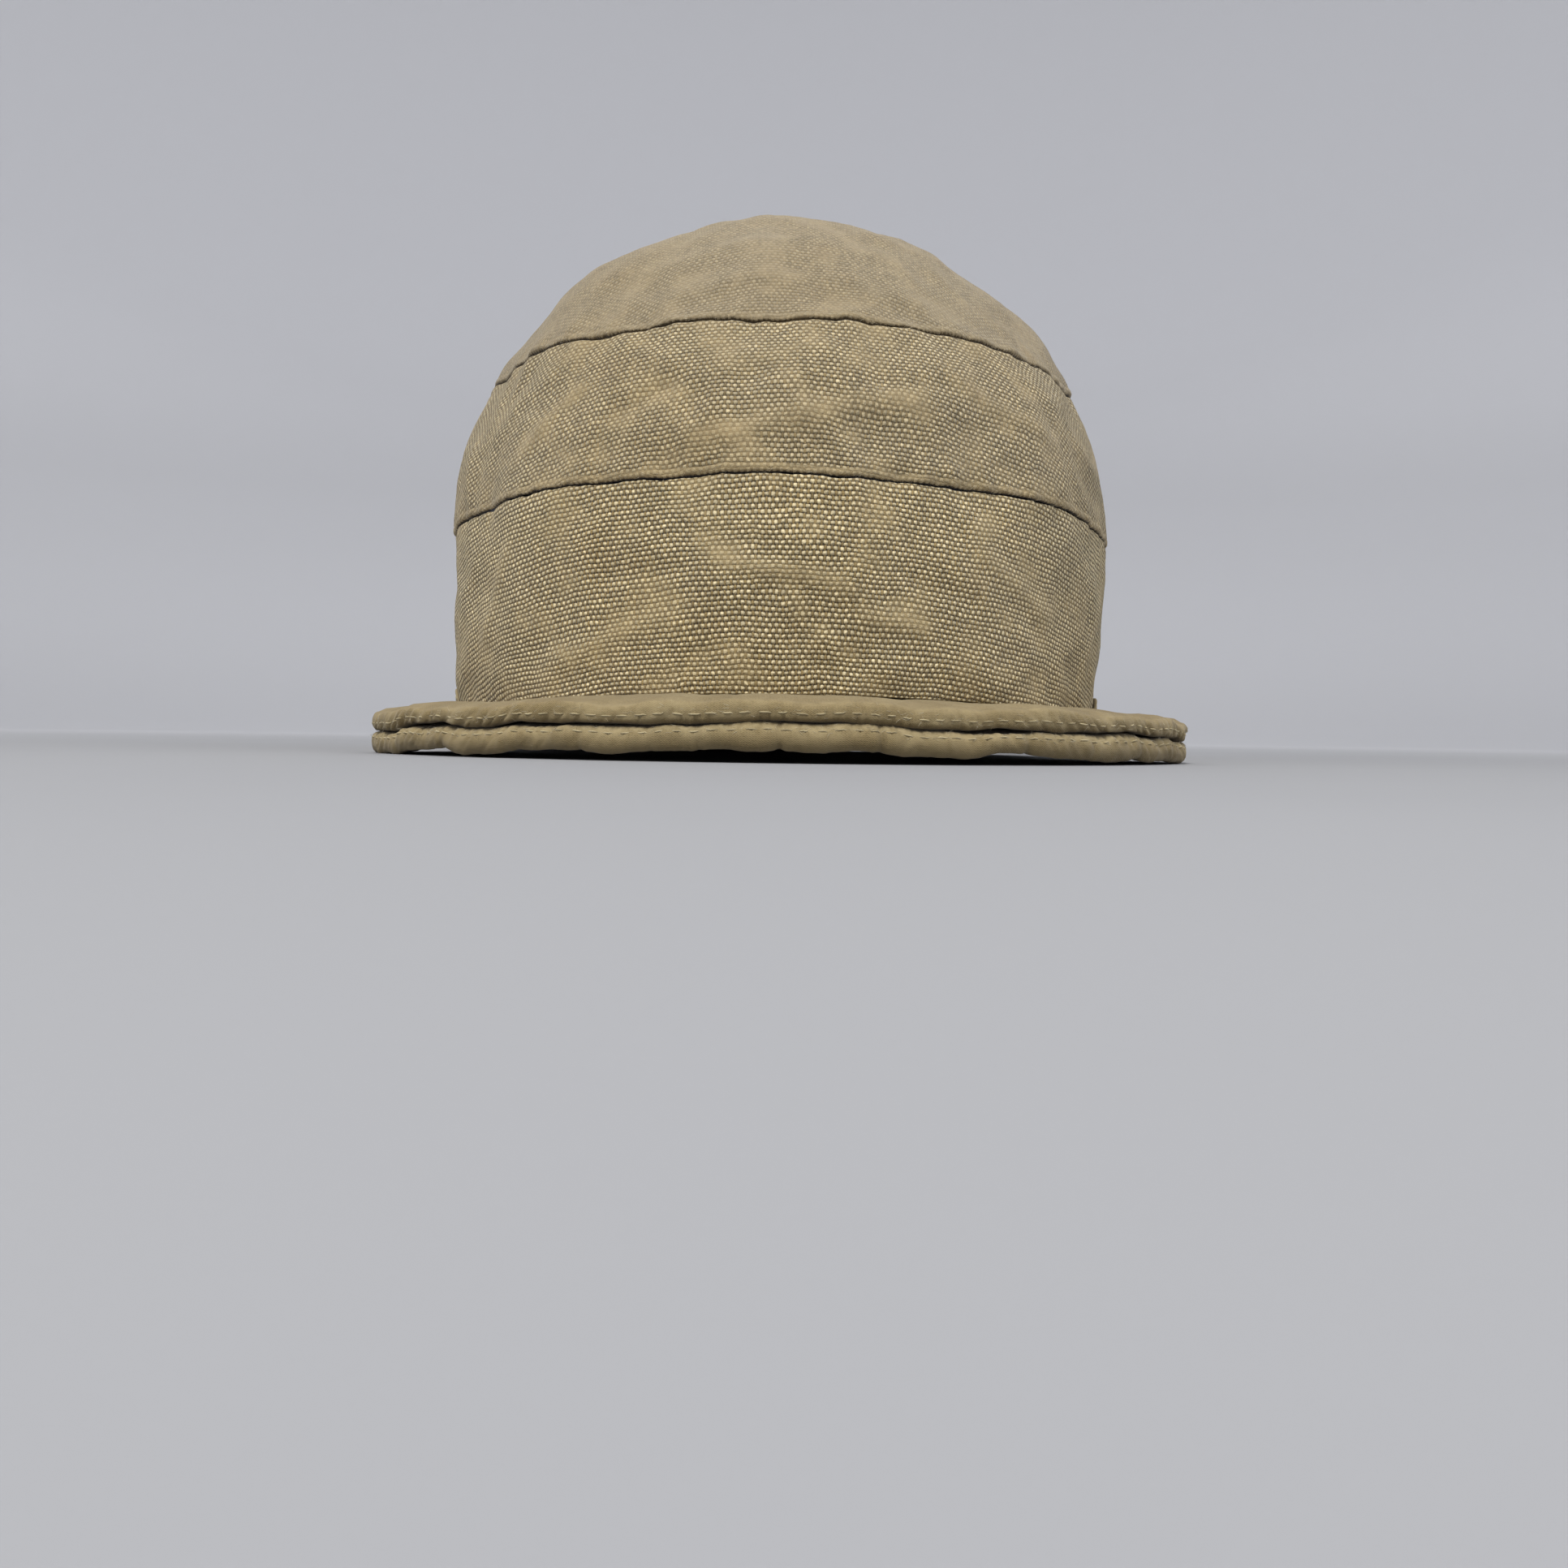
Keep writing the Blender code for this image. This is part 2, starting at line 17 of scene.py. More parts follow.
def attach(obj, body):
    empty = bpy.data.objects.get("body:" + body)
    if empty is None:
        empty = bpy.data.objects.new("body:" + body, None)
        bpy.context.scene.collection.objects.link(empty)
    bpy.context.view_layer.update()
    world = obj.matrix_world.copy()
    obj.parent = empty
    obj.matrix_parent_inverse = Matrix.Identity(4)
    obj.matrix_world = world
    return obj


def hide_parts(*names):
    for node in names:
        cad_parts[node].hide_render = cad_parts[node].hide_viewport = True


MM = 0.001

# Reading the solids
CROWN_NODES = ("crown_lower_band", "crown_upper_band", "crown_top")
CROWN_COLUMNS = 960
CROWN_ELEVATIONS = 181
CENTRE_HEIGHT = 0.4 * MM  # of the point that the crown is read from
OUTSIDE_CROWN = 0.3
FACET_BLUR = 3.0  # degrees over which the facets are smoothed
LEVEL_FROM = 87.0  # the elevation above which the top is taken as level
RISING_ROWS = 140  # the rows over which every column rises
HEADING_ROW = 20  # a row whose points show which way the columns lie

# Crown
# How high a seam strays and how long the waves are
SEAM_WAVES = ((0.80 * MM, 30 * MM), (0.24 * MM, 9 * MM), (0.24 * MM, 2.4 * MM))
SEAM_OPENING = 0.55 * MM
SEAM_PULL = 0.60 * MM
SEAM_PULL_FADE = 6.5 * MM
PUCKER_RISE = 0.75 * MM
PUCKER_LENGTH = 5.5 * MM
PUCKER_FADE = 6.0 * MM
RELIEF_SEED = 31
CANVAS_BODY = 1.9 * MM
LOWER_CUT_RADIUS = 680.0 * MM
UPPER_CUT_RADIUS = 290.0 * MM
NEAR_TOP = 0.985  # where a column's last row lies, next to the top's middle
LINING_DEPTH = 2.5 * MM
LINING_BODY = 1.0 * MM
LINING_COLUMN_STEP = 4
LINING_BACK_ROWS = 12
LINING_ROWS = 70
LINING_WEAVE_RADIUS = 95.0

# Peak
PEAK_HALF_ANGLE = 78.0
PEAK_STATIONS = 561
PEAK_ROOT = 3.5 * MM
PEAK_SPREAD = 1.25  # how much longer its edge is than the rim
BESIDE_PEAK = 60 * MM
OVER_PEAK = 40 * MM
REACH_BLUR = 1.3
SLIT_DEPTH = 2.6 * MM
UNDERSIDE_SHARES = (0.0, 0.08, 0.16, 0.24, 0.33, 0.42, 0.51, 0.60, 0.70, 0.80, 0.90, 0.97)
UPPER_SIDE_SHARES = (0.95, 0.87, 0.78, 0.68, 0.57, 0.46, 0.36, 0.27, 0.19, 0.12, 0.07, 0.03)
BINDING_TO_PEAK = 0.45

# Weave, in millimetres
WARP_PITCH = 0.76
WEFT_PITCH = 1.16

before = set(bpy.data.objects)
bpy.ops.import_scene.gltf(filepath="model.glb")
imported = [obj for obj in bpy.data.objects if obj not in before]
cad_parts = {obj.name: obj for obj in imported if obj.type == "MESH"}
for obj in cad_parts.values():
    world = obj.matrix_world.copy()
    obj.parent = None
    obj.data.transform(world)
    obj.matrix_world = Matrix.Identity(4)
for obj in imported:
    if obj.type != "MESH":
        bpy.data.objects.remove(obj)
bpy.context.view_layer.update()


def table(kind, rows):
    """Rows of numbers as a list of named tuples."""
    return [kind(*row) for row in rows]


# Reading the frame


def node_points(node):
    """Corners of a solid as rows of x, y, z."""
    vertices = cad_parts[node].data.vertices
    points = np.empty(len(vertices) * 3, dtype=np.float32)
    vertices.foreach_get("co", points)
    return points.reshape(-1, 3).astype(float)


def rim_slope(points):
    """How far the rim rises for each step along Y: the line that carries the band's lower
    edge from below."""
    slope = 0.0
    middle = (points[:, 1].max() + points[:, 1].min()) / 2
    halves = [points[points[:, 1] < middle], points[points[:, 1] >= middle]]
    for _ in range(12):
        front, back = (half[(half[:, 2] - slope * half[:, 1]).argmin()] for half in halves)
        slope = (back[2] - front[2]) / (back[1] - front[1])
    return slope


def find_rim():
    """Where the rim plane lies, and the half width and half length of the rim, from the
    lower edge of the crown's band."""
    points = node_points("crown_lower_band")
    turn = Matrix.Rotation(math.atan(rim_slope(points)), 4, "X")
    level = points @ np.array(turn.to_3x3())
    edge = level[level[:, 2] < level[:, 2].min() + 0.3 * MM]
    middle = (edge.max(axis=0) + edge.min(axis=0)) / 2
    half = (edge.max(axis=0) - edge.min(axis=0)) / 2
    return turn @ Matrix.Translation(middle), half[0], half[1]


LAY_DOWN, RIM_HALF_WIDTH, RIM_HALF_LENGTH = find_rim()
TO_RIM = LAY_DOWN.inverted()
RIM_RADIUS = (RIM_HALF_WIDTH + RIM_HALF_LENGTH) / 2


def top_of(node):
    """Height of a solid's highest point above the rim plane."""
    return max((TO_RIM @ vertex.co).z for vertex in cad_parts[node].data.vertices)


def solid_tree(*nodes):
    """A search tree over some solids, in the cap's own frame."""
    corners = []
    faces = []
    for node in nodes:
        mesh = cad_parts[node].data
        first = len(corners)
        corners += [TO_RIM @ vertex.co for vertex in mesh.vertices]
        faces += [[first + index for index in face.vertices] for face in mesh.polygons]
    return BVHTree.FromPolygons(corners, faces)


def cast(tree, starts, rays):
    """Heights at which rays meet the solids of a tree and how far off that is, or nan where
    they pass."""
    found = []
    for start, ray in zip(starts.reshape(-1, 3), np.broadcast_to(rays, starts.shape).reshape(-1, 3)):
        place, _, _, distance = tree.ray_cast(Vector(start), Vector(ray))
        found.append((np.nan, np.nan) if place is None else (place.z, distance))
    return np.array(found).T.reshape((2,) + starts.shape[:-1])


def blur_round(values, spread):
    """Gaussian blur along the first axis, which closes on itself."""
    count = len(values)
    rate = np.exp(-2 * (math.pi * spread * np.fft.rfftfreq(count)) ** 2)
    rate = rate.reshape((-1,) + (1,) * (values.ndim - 1))
    return np.fft.irfft(np.fft.rfft(values, axis=0) * rate, n=count, axis=0)


def blur_open(values, spread):
    """Gaussian blur along the first axis, which keeps the slope at both ends."""
    pad = min(int(4 * spread) + 1, len(values) - 1)
    before = 2 * values[:1] - values[pad:0:-1]
    after = 2 * values[-1:] - values[-2:-pad - 2:-1]
    joined = np.concatenate((before, values, after))
    return blur_round(joined, spread)[pad:pad + len(values)]


def unit(vectors):
    """Vectors scaled to length one."""
    return vectors / np.maximum(np.linalg.norm(vectors, axis=-1, keepdims=True), 1e-12)


def running_length(points, axis=0):
    """Length from the start to each point along one axis of a grid or row of points."""
    steps = np.linalg.norm(np.diff(points, axis=axis), axis=-1)
    return np.insert(np.cumsum(steps, axis=axis), 0, 0.0, axis=axis)


def rim_edge(angles):
    """Points of the rim's ellipse and its outward normals."""
    turn = np.radians(angles)
    flat = np.zeros_like(turn)
    points = np.stack((RIM_HALF_WIDTH * np.sin(turn), -RIM_HALF_LENGTH * np.cos(turn), flat), -1)
    normals = np.stack((np.sin(turn) / RIM_HALF_WIDTH, -np.cos(turn) / RIM_HALF_LENGTH, flat), -1)
    return points, unit(normals)


# A grid of points and whether its last row and its last column join the first ones
Grid = namedtuple("Grid", "points rows_closed columns_closed")


def advance(points, axis, closed):
    """How a grid of points goes on along one of its axes."""
    if closed:
        return np.roll(points, -1, axis) - np.roll(points, 1, axis)
    return np.gradient(points, axis=axis)


def grid_normals(grid):
    """Outward normals of a grid of points."""
    across = advance(grid.points, 1, grid.columns_closed)
    return unit(np.cross(across, advance(grid.points, 0, grid.rows_closed)))


Crown = namedtuple("Crown", "angles skin normal length")


def read_crown():
    """The outer cloth of the crown as a grid, smoothed over the facets of the solids: rows
    run up from the rim to the top, columns run round from the back."""
    angles = -180.0 + np.arange(CROWN_COLUMNS) * 360.0 / CROWN_COLUMNS
    rise = np.radians(np.linspace(0.0, 90.0, CROWN_ELEVATIONS))
    rays = unit(rim_edge(angles)[0])[None] * np.cos(rise)[:, None, None]
    rays[..., 2] += np.sin(rise)[:, None]
    centre = np.array((0.0, 0.0, CENTRE_HEIGHT))
    single, far = rays.astype(np.float32), np.float32(OUTSIDE_CROWN)  # as search trees reckon
    starts = centre.astype(np.float32) + far * single
    reach = OUTSIDE_CROWN - cast(solid_tree(*CROWN_NODES), starts, -single)[1]
    reach[1:-1] = np.median((reach[:-2], reach[1:-1], reach[2:]), axis=0)
    reach = blur_round(reach.T, FACET_BLUR * CROWN_COLUMNS / 360.0).T
    reach = blur_open(reach, FACET_BLUR * (CROWN_ELEVATIONS - 1) / 90.0)
    skin = centre + rays * reach[..., None]
    normal = grid_normals(Grid(skin, False, True))
    normal[np.degrees(rise) > LEVEL_FROM] = (0.0, 0.0, 1.0)
    return Crown(angles, skin, normal, running_length(skin) + CENTRE_HEIGHT)


CROWN = read_crown()


def on_crown(along, rise, columns=range(CROWN_COLUMNS)):
    """Points at lengths along the crown's columns and heights over its outer cloth; below
    the rim they go straight down."""
    points = np.empty(along.shape + (3,))
    rise = np.broadcast_to(rise, along.shape)
    for place, column in enumerate(columns):
        at = np.maximum(along[:, place], 0.0)
        scale = CROWN.length[:, column]
        for axis in range(3):
            base = np.interp(at, scale, CROWN.skin[:, column, axis])
            out = np.interp(at, scale, CROWN.normal[:, column, axis])
            points[:, place, axis] = base + rise[:, place] * out
    points[..., 2] += np.minimum(along, 0.0)
    return points


def length_at(height):
    """The length along each column at which the crown reaches a height."""
    columns = zip(CROWN.skin[:RISING_ROWS, :, 2].T, CROWN.length[:RISING_ROWS].T)
    return np.array([np.interp(height, rises, length) for rises, length in columns])


def headings(columns=slice(None)):
    """Directions of the crown's columns as seen from above, in radians."""
    row = CROWN.skin[HEADING_ROW, columns]
    return np.arctan2(row[:, 0], -row[:, 1])


def ring_points(radius):
    """A ring with one point for each column of the crown."""
    turn = np.radians(CROWN.angles)
    return np.stack((np.sin(turn), np.cos(turn), np.zeros_like(turn)), -1) * radius


def noise_at(points, size, seed):
    """Smooth noise between -1 and 1 whose features are about as long as size."""
    flat = points.reshape(-1, 3) / size + np.array((seed * 7.31, seed * 3.17, seed * 5.77))
    return np.array([noise.noise(place) for place in flat.tolist()]).reshape(points.shape[:-1])


def bell(distance, spread):
    """A soft hump, 1 at the middle and close to nothing at twice the spread."""
    return np.exp(-(distance / spread) ** 2)


def smooth_step(value):
    """Ease from 0 to 1 as value goes from 0 to 1."""
    value = np.clip(value, 0.0, 1.0)
    return value * value * (3.0 - 2.0 * value)


# Making pieces


def turned(directions):
    """Directions of the cap's own frame as it lies."""
    return directions @ np.array(LAY_DOWN.to_3x3()).T


def lay(points):
    """Points of the cap's own frame as it lies, pressed flat where it would sink."""
    laid = turned(points) + np.array(LAY_DOWN.translation)
    laid[..., 2] = np.maximum(laid[..., 2], 0.0)
    return laid


def new_object(name, data):
    """An object of the scene."""
    item = bpy.data.objects.new(name, data)
    bpy.context.scene.collection.objects.link(item)
    return item


def smooth_object(name, vertices, faces, material):
    """A smoothly shaded mesh object of the scene."""
    mesh = bpy.data.meshes.new(name)
    mesh.from_pydata(vertices, [], faces)
    mesh.materials.append(material)
    mesh.shade_smooth()
    return new_object(name, mesh)


def cap_piece(name, vertices, faces, material):
    """A piece of the cap's one body."""
    piece = smooth_object(name, vertices, faces, material)
    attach(piece, "root")
    return piece


def grid_faces(rows, columns, rows_closed=False, columns_closed=True):
    """Faces of a grid of points, and the row and column of each of their corners."""
    row, column = np.mgrid[:rows - (not rows_closed), :columns - (not columns_closed)]
    row = (row[..., None] + (0, 0, 1, 1)).reshape(-1, 4)
    column = (column[..., None] + (0, 1, 1, 0)).reshape(-1, 4)
    return row % rows * columns + column % columns, row, column


def grid_piece(name, node, grid, places, wear, dirt, material, pole=None):
    """A piece from a grid of points, in place of a solid. Places are the weave's coordinates,
    with one more row and column than the points have; wear is how rubbed the cloth is, the
    values after it how much painted shade darkens it; pole closes the last row."""
    rows, columns = grid.points.shape[:2]
    faces, row, column = grid_faces(rows, columns, grid.rows_closed, grid.columns_closed)
    faces = faces.tolist()
    corners = places[row, column].reshape(-1, 2)
    vertices = lay(grid.points).reshape(-1, 3).tolist()
    # The second attribute is painted shade, which darkens seams, slits, creases and hidden sides
    stored = {"wear": wear.reshape(-1).tolist(), "dirt": dirt.reshape(-1).tolist()}
    if pole is not None:
        vertices.append(lay(pole[None])[0].tolist())
        for values in stored.values():
            values.append(values[-1])
        last = (rows - 1) * columns
        fan = []
        for index in range(columns):
            faces.append((last + index, last + (index + 1) % columns, len(vertices) - 1))
            fan += [places[rows - 1, index], places[rows - 1, index + 1], (0.0, 0.0)]
        corners = np.concatenate((corners, np.array(fan)))
    if not grid.columns_closed:
        for end, order in ((0, 1), (columns - 1, -1)):
            faces.append([index * columns + end for index in range(rows)][::order])
            corners = np.concatenate((corners, places[:rows, end][::order]))
    piece = cap_piece(name, vertices, faces, material)
    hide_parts(node)
    weave = piece.data.uv_layers.new(name="weave")
    weave.data.foreach_set("uv", corners.astype(np.float32).ravel())
    for attribute, values in stored.items():
        layer = piece.data.attributes.new(attribute, "FLOAT", "POINT")
        layer.data.foreach_set("value", values)
    return grid


# Sections of the crown's edges, in millimetres: offset from the seam, rise over the cloth,
# wear and painted shade, which darkens the lip's turned-under edge and the tuck where both
# go into the seam's groove. A lip is the lower edge of a panel, turned under; a tuck is the
# upper edge of the panel below it, which goes behind the lip.
Edge = namedtuple("Edge", "offset rise wear dirt", defaults=(0.0,))
LIP = table(Edge, (
    (1.00, -1.50, 0.0, 1.0), (0.25, -1.35, 0.0, 1.0), (0.03, -0.85, 0.0, 1.0),
    (0.00, -0.30, 0.1, 1.0), (0.04, 0.14, 0.4, 0.5), (0.16, 0.40, 0.8, 0.1), (0.42, 0.55, 1.0),
    (0.95, 0.60, 1.0), (1.50, 0.56, 0.9), (1.85, 0.38, 0.2, 0.15), (2.25, 0.40, 0.0),
    (3.20, 0.34, 0.0), (4.40, 0.22, 0.0), (6.00, 0.06, 0.0),
))
TUCK = table(Edge, (
    (-4.50, 0.00, 0.0), (-3.00, 0.06, 0.0), (-1.90, 0.12, 0.1), (-1.20, 0.12, 0.15),
    (-0.70, 0.02, 0.1, 0.1), (-0.38, -0.22, 0.1, 0.5), (-0.22, -0.60, 0.0, 1.0),
    (-0.20, -1.20, 0.0, 1.0), (-0.90, -1.60, 0.0, 1.0),
))
TUCK_OPENS_ABOVE = -1.3 * MM
RIM_EDGE = table(Edge, (
    (-0.20, -1.60, 0.0), (-0.24, -0.60, 0.0), (-0.20, -0.10, 0.0), (0.30, 0.00, 0.0),
))

# Soft creases in the crown's cloth, where it is rubbed smooth: ends as angle and share of
# the band's height, half width and rise in millimetres
Crease = namedtuple("Crease", "start_angle start end_angle end width rise wear")
LOWER_CREASES = table(Crease, (
    (-13.0, 0.70, 11.0, 0.40, 2.0, 0.65, 0.75), (9.0, 0.42, 22.0, 0.28, 2.2, 0.50, 0.60),
    (-30.0, 0.62, -14.0, 0.52, 2.4, -0.55, 0.00), (-40.0, 0.24, -16.0, 0.30, 2.6, 0.60, 0.45),
    (16.0, 0.62, 31.0, 0.38, 2.2, -0.50, 0.00), (28.0, 0.80, 46.0, 0.36, 2.6, 0.60, 0.50),
    (-60.0, 0.30, -46.0, 0.80, 2.6, 0.65, 0.50), (58.0, 0.20, 70.0, 0.66, 2.8, 0.55, 0.45),
    (140.0, 0.25, 158.0, 0.65, 2.8, 0.70, 0.60), (-150.0, 0.70, -128.0, 0.30, 3.0, -0.60, 0.10),
    (95.0, 0.65, 112.0, 0.35, 2.6, 0.60, 0.50), (-104.0, 0.30, -88.0, 0.66, 2.6, 0.60, 0.50),
))
UPPER_CREASES = table(Crease, (
    (-19.0, 0.30, 22.0, 0.34, 3.0, 0.85, 0.55), (-31.0, 0.42, -17.0, 0.54, 2.6, -0.75, 0.00),
    (-52.0, 0.20, -34.0, 0.62, 2.6, 0.60, 0.55), (12.0, 0.62, 30.0, 0.52, 2.4, -0.60, 0.00),
    (26.0, 0.72, 52.0, 0.24, 2.6, 0.60, 0.50), (-12.0, 0.68, 8.0, 0.74, 2.6, 0.45, 0.35),
    (150.0, 0.60, 195.0, 0.55, 3.2, 0.70, 0.60), (-120.0, 0.35, -98.0, 0.60, 3.0, 0.65, 0.50),
    (84.0, 0.60, 108.0, 0.40, 3.0, 0.65, 0.50),
))


def crease_fields(creases, share, height):
    """Rise and wear of a band's creases at the points of its grid."""
    rise = np.zeros(share.shape)
    wear = np.zeros(share.shape)
    inner = smooth_step(np.minimum(share, 1.0 - share) / 0.16)
    for crease in creases:
        middle = (crease.start_angle + crease.end_angle) / 2
        turn = (CROWN.angles - middle + 180.0) % 360.0 - 180.0
        across = np.radians(turn)[None, :] * RIM_RADIUS
        upward = (share - (crease.start + crease.end) / 2) * height
        half_across = math.radians(crease.end_angle - crease.start_angle) / 2 * RIM_RADIUS
        half_upward = (crease.end - crease.start) / 2 * height
        half_length = math.hypot(half_across, half_upward)
        along = (across * half_across + upward * half_upward) / half_length
        beside = (across * half_upward - upward * half_across) / half_length
        beside += 0.12 * half_length * np.sin(along / half_length * 2.2)
        fade = 1.0 - smooth_step((np.abs(along) / half_length - 0.5) / 0.7)
        hump = bell(beside, crease.width * MM) * fade * inner
        rise += crease.rise * MM * hump
        wear += crease.wear * hump
    return rise, wear


def seam_wave(along_seam, seed):
    """A seam's lengths along the columns, with the way it strays up and down."""
    ring = ring_points(RIM_RADIUS)
    waves = [rise * noise_at(ring, size, seed + step) for step, (rise, size) in enumerate(SEAM_WAVES)]
    return along_seam + sum(waves)


def edge_rows(edges, share):
    """Rows of a panel's edge as share, offset, rise, wear, painted shade and whether they show."""
    return [(share, edge.offset * MM, edge.rise * MM, edge.wear, edge.dirt, 1.0) for edge in edges]


def middle_rows(first, last, count):
    """Evenly spaced rows between two edges."""
    return [(share, 0.0, 0.0, 0.0, 0.0, 1.0) for share in np.linspace(first, last, count)]


def inner_rows(first, last, count):
    """Rows of the hidden inner side of a panel, in full painted shade."""
    return [(share, 0.0, -CANVAS_BODY, 0.0, 1.0, 0.0) for share in np.linspace(first, last, count)]


def relief(points):
    """Unevenness of worn cloth over its whole surface: lumps, folds that are narrow on their
    ridges and wide in their hollows, and grit, with the folds deeper on the upper panels."""
    drift = np.stack([noise_at(points, 30 * MM, RELIEF_SEED + step) for step in (7, 8, 9)], -1)
    bent = points + 9 * MM * drift
    deeper = 1.0 + 0.30 * smooth_step((points[..., 2] - 44 * MM) / (16 * MM))
    ridge = noise_at(bent * (1.0, 1.0, 1.35), 22 * MM, RELIEF_SEED + 1)
    middle = 0.50 * (0.45 - 2.2 * np.sqrt(ridge ** 2 + 0.004))
    middle = middle + 0.55 * noise_at(bent, 10 * MM, RELIEF_SEED + 2)
    lumps = 1.60 * noise_at(points, 30 * MM, RELIEF_SEED)
    return MM * (lumps + deeper * middle + 0.12 * noise_at(points, 3.2 * MM, RELIEF_SEED + 3))


def back_seam():
    """Rise and painted shade of the plain seam that closes a band at the back: its groove is painted
    dark.
    """
    distance = np.radians(np.abs(np.abs(CROWN.angles) - 180.0)) * RIM_RADIUS
    groove = -0.9 * bell(distance, 0.7 * MM) + 0.42 * bell(distance - 2.4 * MM, 1.4 * MM)
    return groove * MM, bell(distance, 0.6 * MM)


def crown_grid(rows, low, high, creases, seed, with_back_seam=True):
    """Points of a crown panel, its lengths along the columns, its wear and its painted shade."""
    share, offset, rise, wear, dirt, outside = (np.array(value)[:, None] for value in zip(*rows))
    ring = ring_points(RIM_HALF_LENGTH)
    # The seam gapes and its lip is full here and there
    opening = SEAM_OPENING * np.clip(noise_at(ring, 7 * MM, seed + 11) + 0.12, 0.0, 0.6)
    tucked = (share == 1.0) & (offset > TUCK_OPENS_ABOVE)
    along = (1 - share) * low + share * high + offset - tucked * opening
    fullness = 1.0 + 0.9 * noise_at(ring, 6 * MM, seed + 12)
    rise = rise * np.where((share == 0.0) & (rise > 0.0), fullness, 1.0)
    base = on_crown(along, 0.0)
    place = (along - low) / (high - low)
    crease_rise, crease_wear = crease_fields(creases, place, float(np.mean(high - low)))
    from_seam = np.minimum(np.abs(along - low), np.abs(high - along))
    pucker = PUCKER_RISE * noise_at(base * (1.0, 1.0, 0.25), PUCKER_LENGTH, RELIEF_SEED + 5)
    pull = SEAM_PULL * np.exp(-from_seam / SEAM_PULL_FADE)
    gathered = pucker * np.exp(-from_seam / PUCKER_FADE)
    total = rise + relief(base) - pull + gathered + outside * crease_rise
    if with_back_seam:
        groove, dark = back_seam()
        total = total + outside * groove
        dirt = dirt + outside * dark
    wear = np.clip(wear + outside * crease_wear, 0.0, 1.0)
    dirt = np.broadcast_to(np.minimum(dirt, 1.0), along.shape)
    return on_crown(along, total), along, wear, dirt


def wrapped(values):
    """A grid with its first column repeated at the end and its first row below."""
    values = np.concatenate((values, values[:, :1]), axis=1)
    return np.concatenate((values, values[:1]), axis=0)


def round_length(height):
    """Length round the crown from the front to each column, at a height; one column more
    than the crown has, so that it closes at the back."""
    ring = on_crown(np.full((1, CROWN_COLUMNS), height), 0.0)[0]
    total = running_length(np.concatenate((ring, ring[:1])))
    return total - total[CROWN_COLUMNS // 2]


def cone_places(along, low, high, middle_length, cut_radius):
    """Weave coordinates of a strip that is cut with a curve, as both bands are."""
    up = wrapped(along - low)
    half_height = float(np.mean(high - low)) / 2
    turn = np.broadcast_to(middle_length / cut_radius, up.shape)
    reach = cut_radius + half_height - up
    return np.stack((reach * np.sin(turn), cut_radius + half_height - reach * np.cos(turn)), -1) / MM


def round_places(along, high):
    """Weave coordinates of a piece of cloth drawn down over the top of the crown."""
    reach = wrapped(high - along)
    heading = headings()
    heading = np.append(heading, heading[0] + 2 * math.pi)
    return np.stack((reach * np.sin(heading), -reach * np.cos(heading)), -1) / MM


LOWER_SEAM = seam_wave(length_at(top_of("crown_lower_band")), 11)
UPPER_SEAM = seam_wave(length_at(top_of("crown_upper_band")), 21)
RIM = np.zeros(CROWN_COLUMNS)
TOP = CROWN.length[-1]


def make_lower_band(material):
    """The canvas band that rises from the rim."""
    rows = edge_rows(RIM_EDGE, 0.0) + middle_rows(0.03, 0.87, 40) + edge_rows(TUCK, 1.0)
    rows += inner_rows(0.93, 0.05, 6)
    points, along, wear, dirt = crown_grid(rows, RIM, LOWER_SEAM, LOWER_CREASES, 31)
    places = cone_places(along, RIM, LOWER_SEAM, round_length(25 * MM), LOWER_CUT_RADIUS)
    grid = Grid(points, True, True)
    return grid_piece(
        "canvas_lower_band", "crown_lower_band", grid, places, wear, dirt, material
    )


def make_upper_band(material):
    """The canvas band above it, which narrows towards the top."""
    rows = edge_rows(LIP, 0.0) + middle_rows(0.19, 0.84, 30) + edge_rows(TUCK, 1.0)
    rows += inner_rows(0.92, 0.08, 6)
    points, along, wear, dirt = crown_grid(rows, LOWER_SEAM, UPPER_SEAM, UPPER_CREASES, 41)
    middle = round_length(float(np.mean(LOWER_SEAM + UPPER_SEAM)) / 2)
    places = cone_places(along, LOWER_SEAM, UPPER_SEAM, middle, UPPER_CUT_RADIUS)
    grid = Grid(points, True, True)
    return grid_piece(
        "canvas_upper_band", "crown_upper_band", grid, places, wear, dirt, material
    )


def make_top(material):
    """The domed top piece, in one grid with its hidden inner side."""
    rows = inner_rows(NEAR_TOP, 0.03, 9) + edge_rows(LIP, 0.0) + middle_rows(0.08, NEAR_TOP, 58)
    points, along, wear, dirt = crown_grid(rows, UPPER_SEAM, TOP, (), 51, False)
    places = round_places(along, TOP)
    pole = points[-1].mean(axis=0)
    grid = Grid(points, False, True)
    return grid_piece(
        "canvas_top", "crown_top", grid, places, wear, dirt, material, pole
    )


def make_lining(material):
    """The dark lining, seen from below."""
    columns = np.arange(0, CROWN_COLUMNS, LINING_COLUMN_STEP)
    depth = LINING_DEPTH + LINING_BODY
    back = np.linspace(NEAR_TOP, 0.0, LINING_BACK_ROWS)
    along = np.append(back, np.linspace(0.0, NEAR_TOP, LINING_ROWS))[:, None] * TOP[columns]
    inside = (np.arange(len(along)) >= LINING_BACK_ROWS)[:, None]
    base = on_crown(along, -depth, columns)
    slack = 1.1 * MM * np.abs(noise_at(base * (1, 1, 0.45), 24 * MM, 61))
    slack += 0.35 * MM * np.abs(noise_at(base, 9 * MM, 62))
    rise = -np.where(inside, depth + slack, LINING_DEPTH)
    points = on_crown(along, rise, columns)[::-1]
    around = np.broadcast_to(headings(columns) * LINING_WEAVE_RADIUS, along.shape)
    places = wrapped(np.stack((around, along / MM), -1)[::-1])
    places[:, -1, 0] += 2 * math.pi * LINING_WEAVE_RADIUS
    plain = np.zeros(along.shape)
    grid = Grid(points, False, True)
    grid_piece("lining_cloth", "lining", grid, places, plain, plain, material)
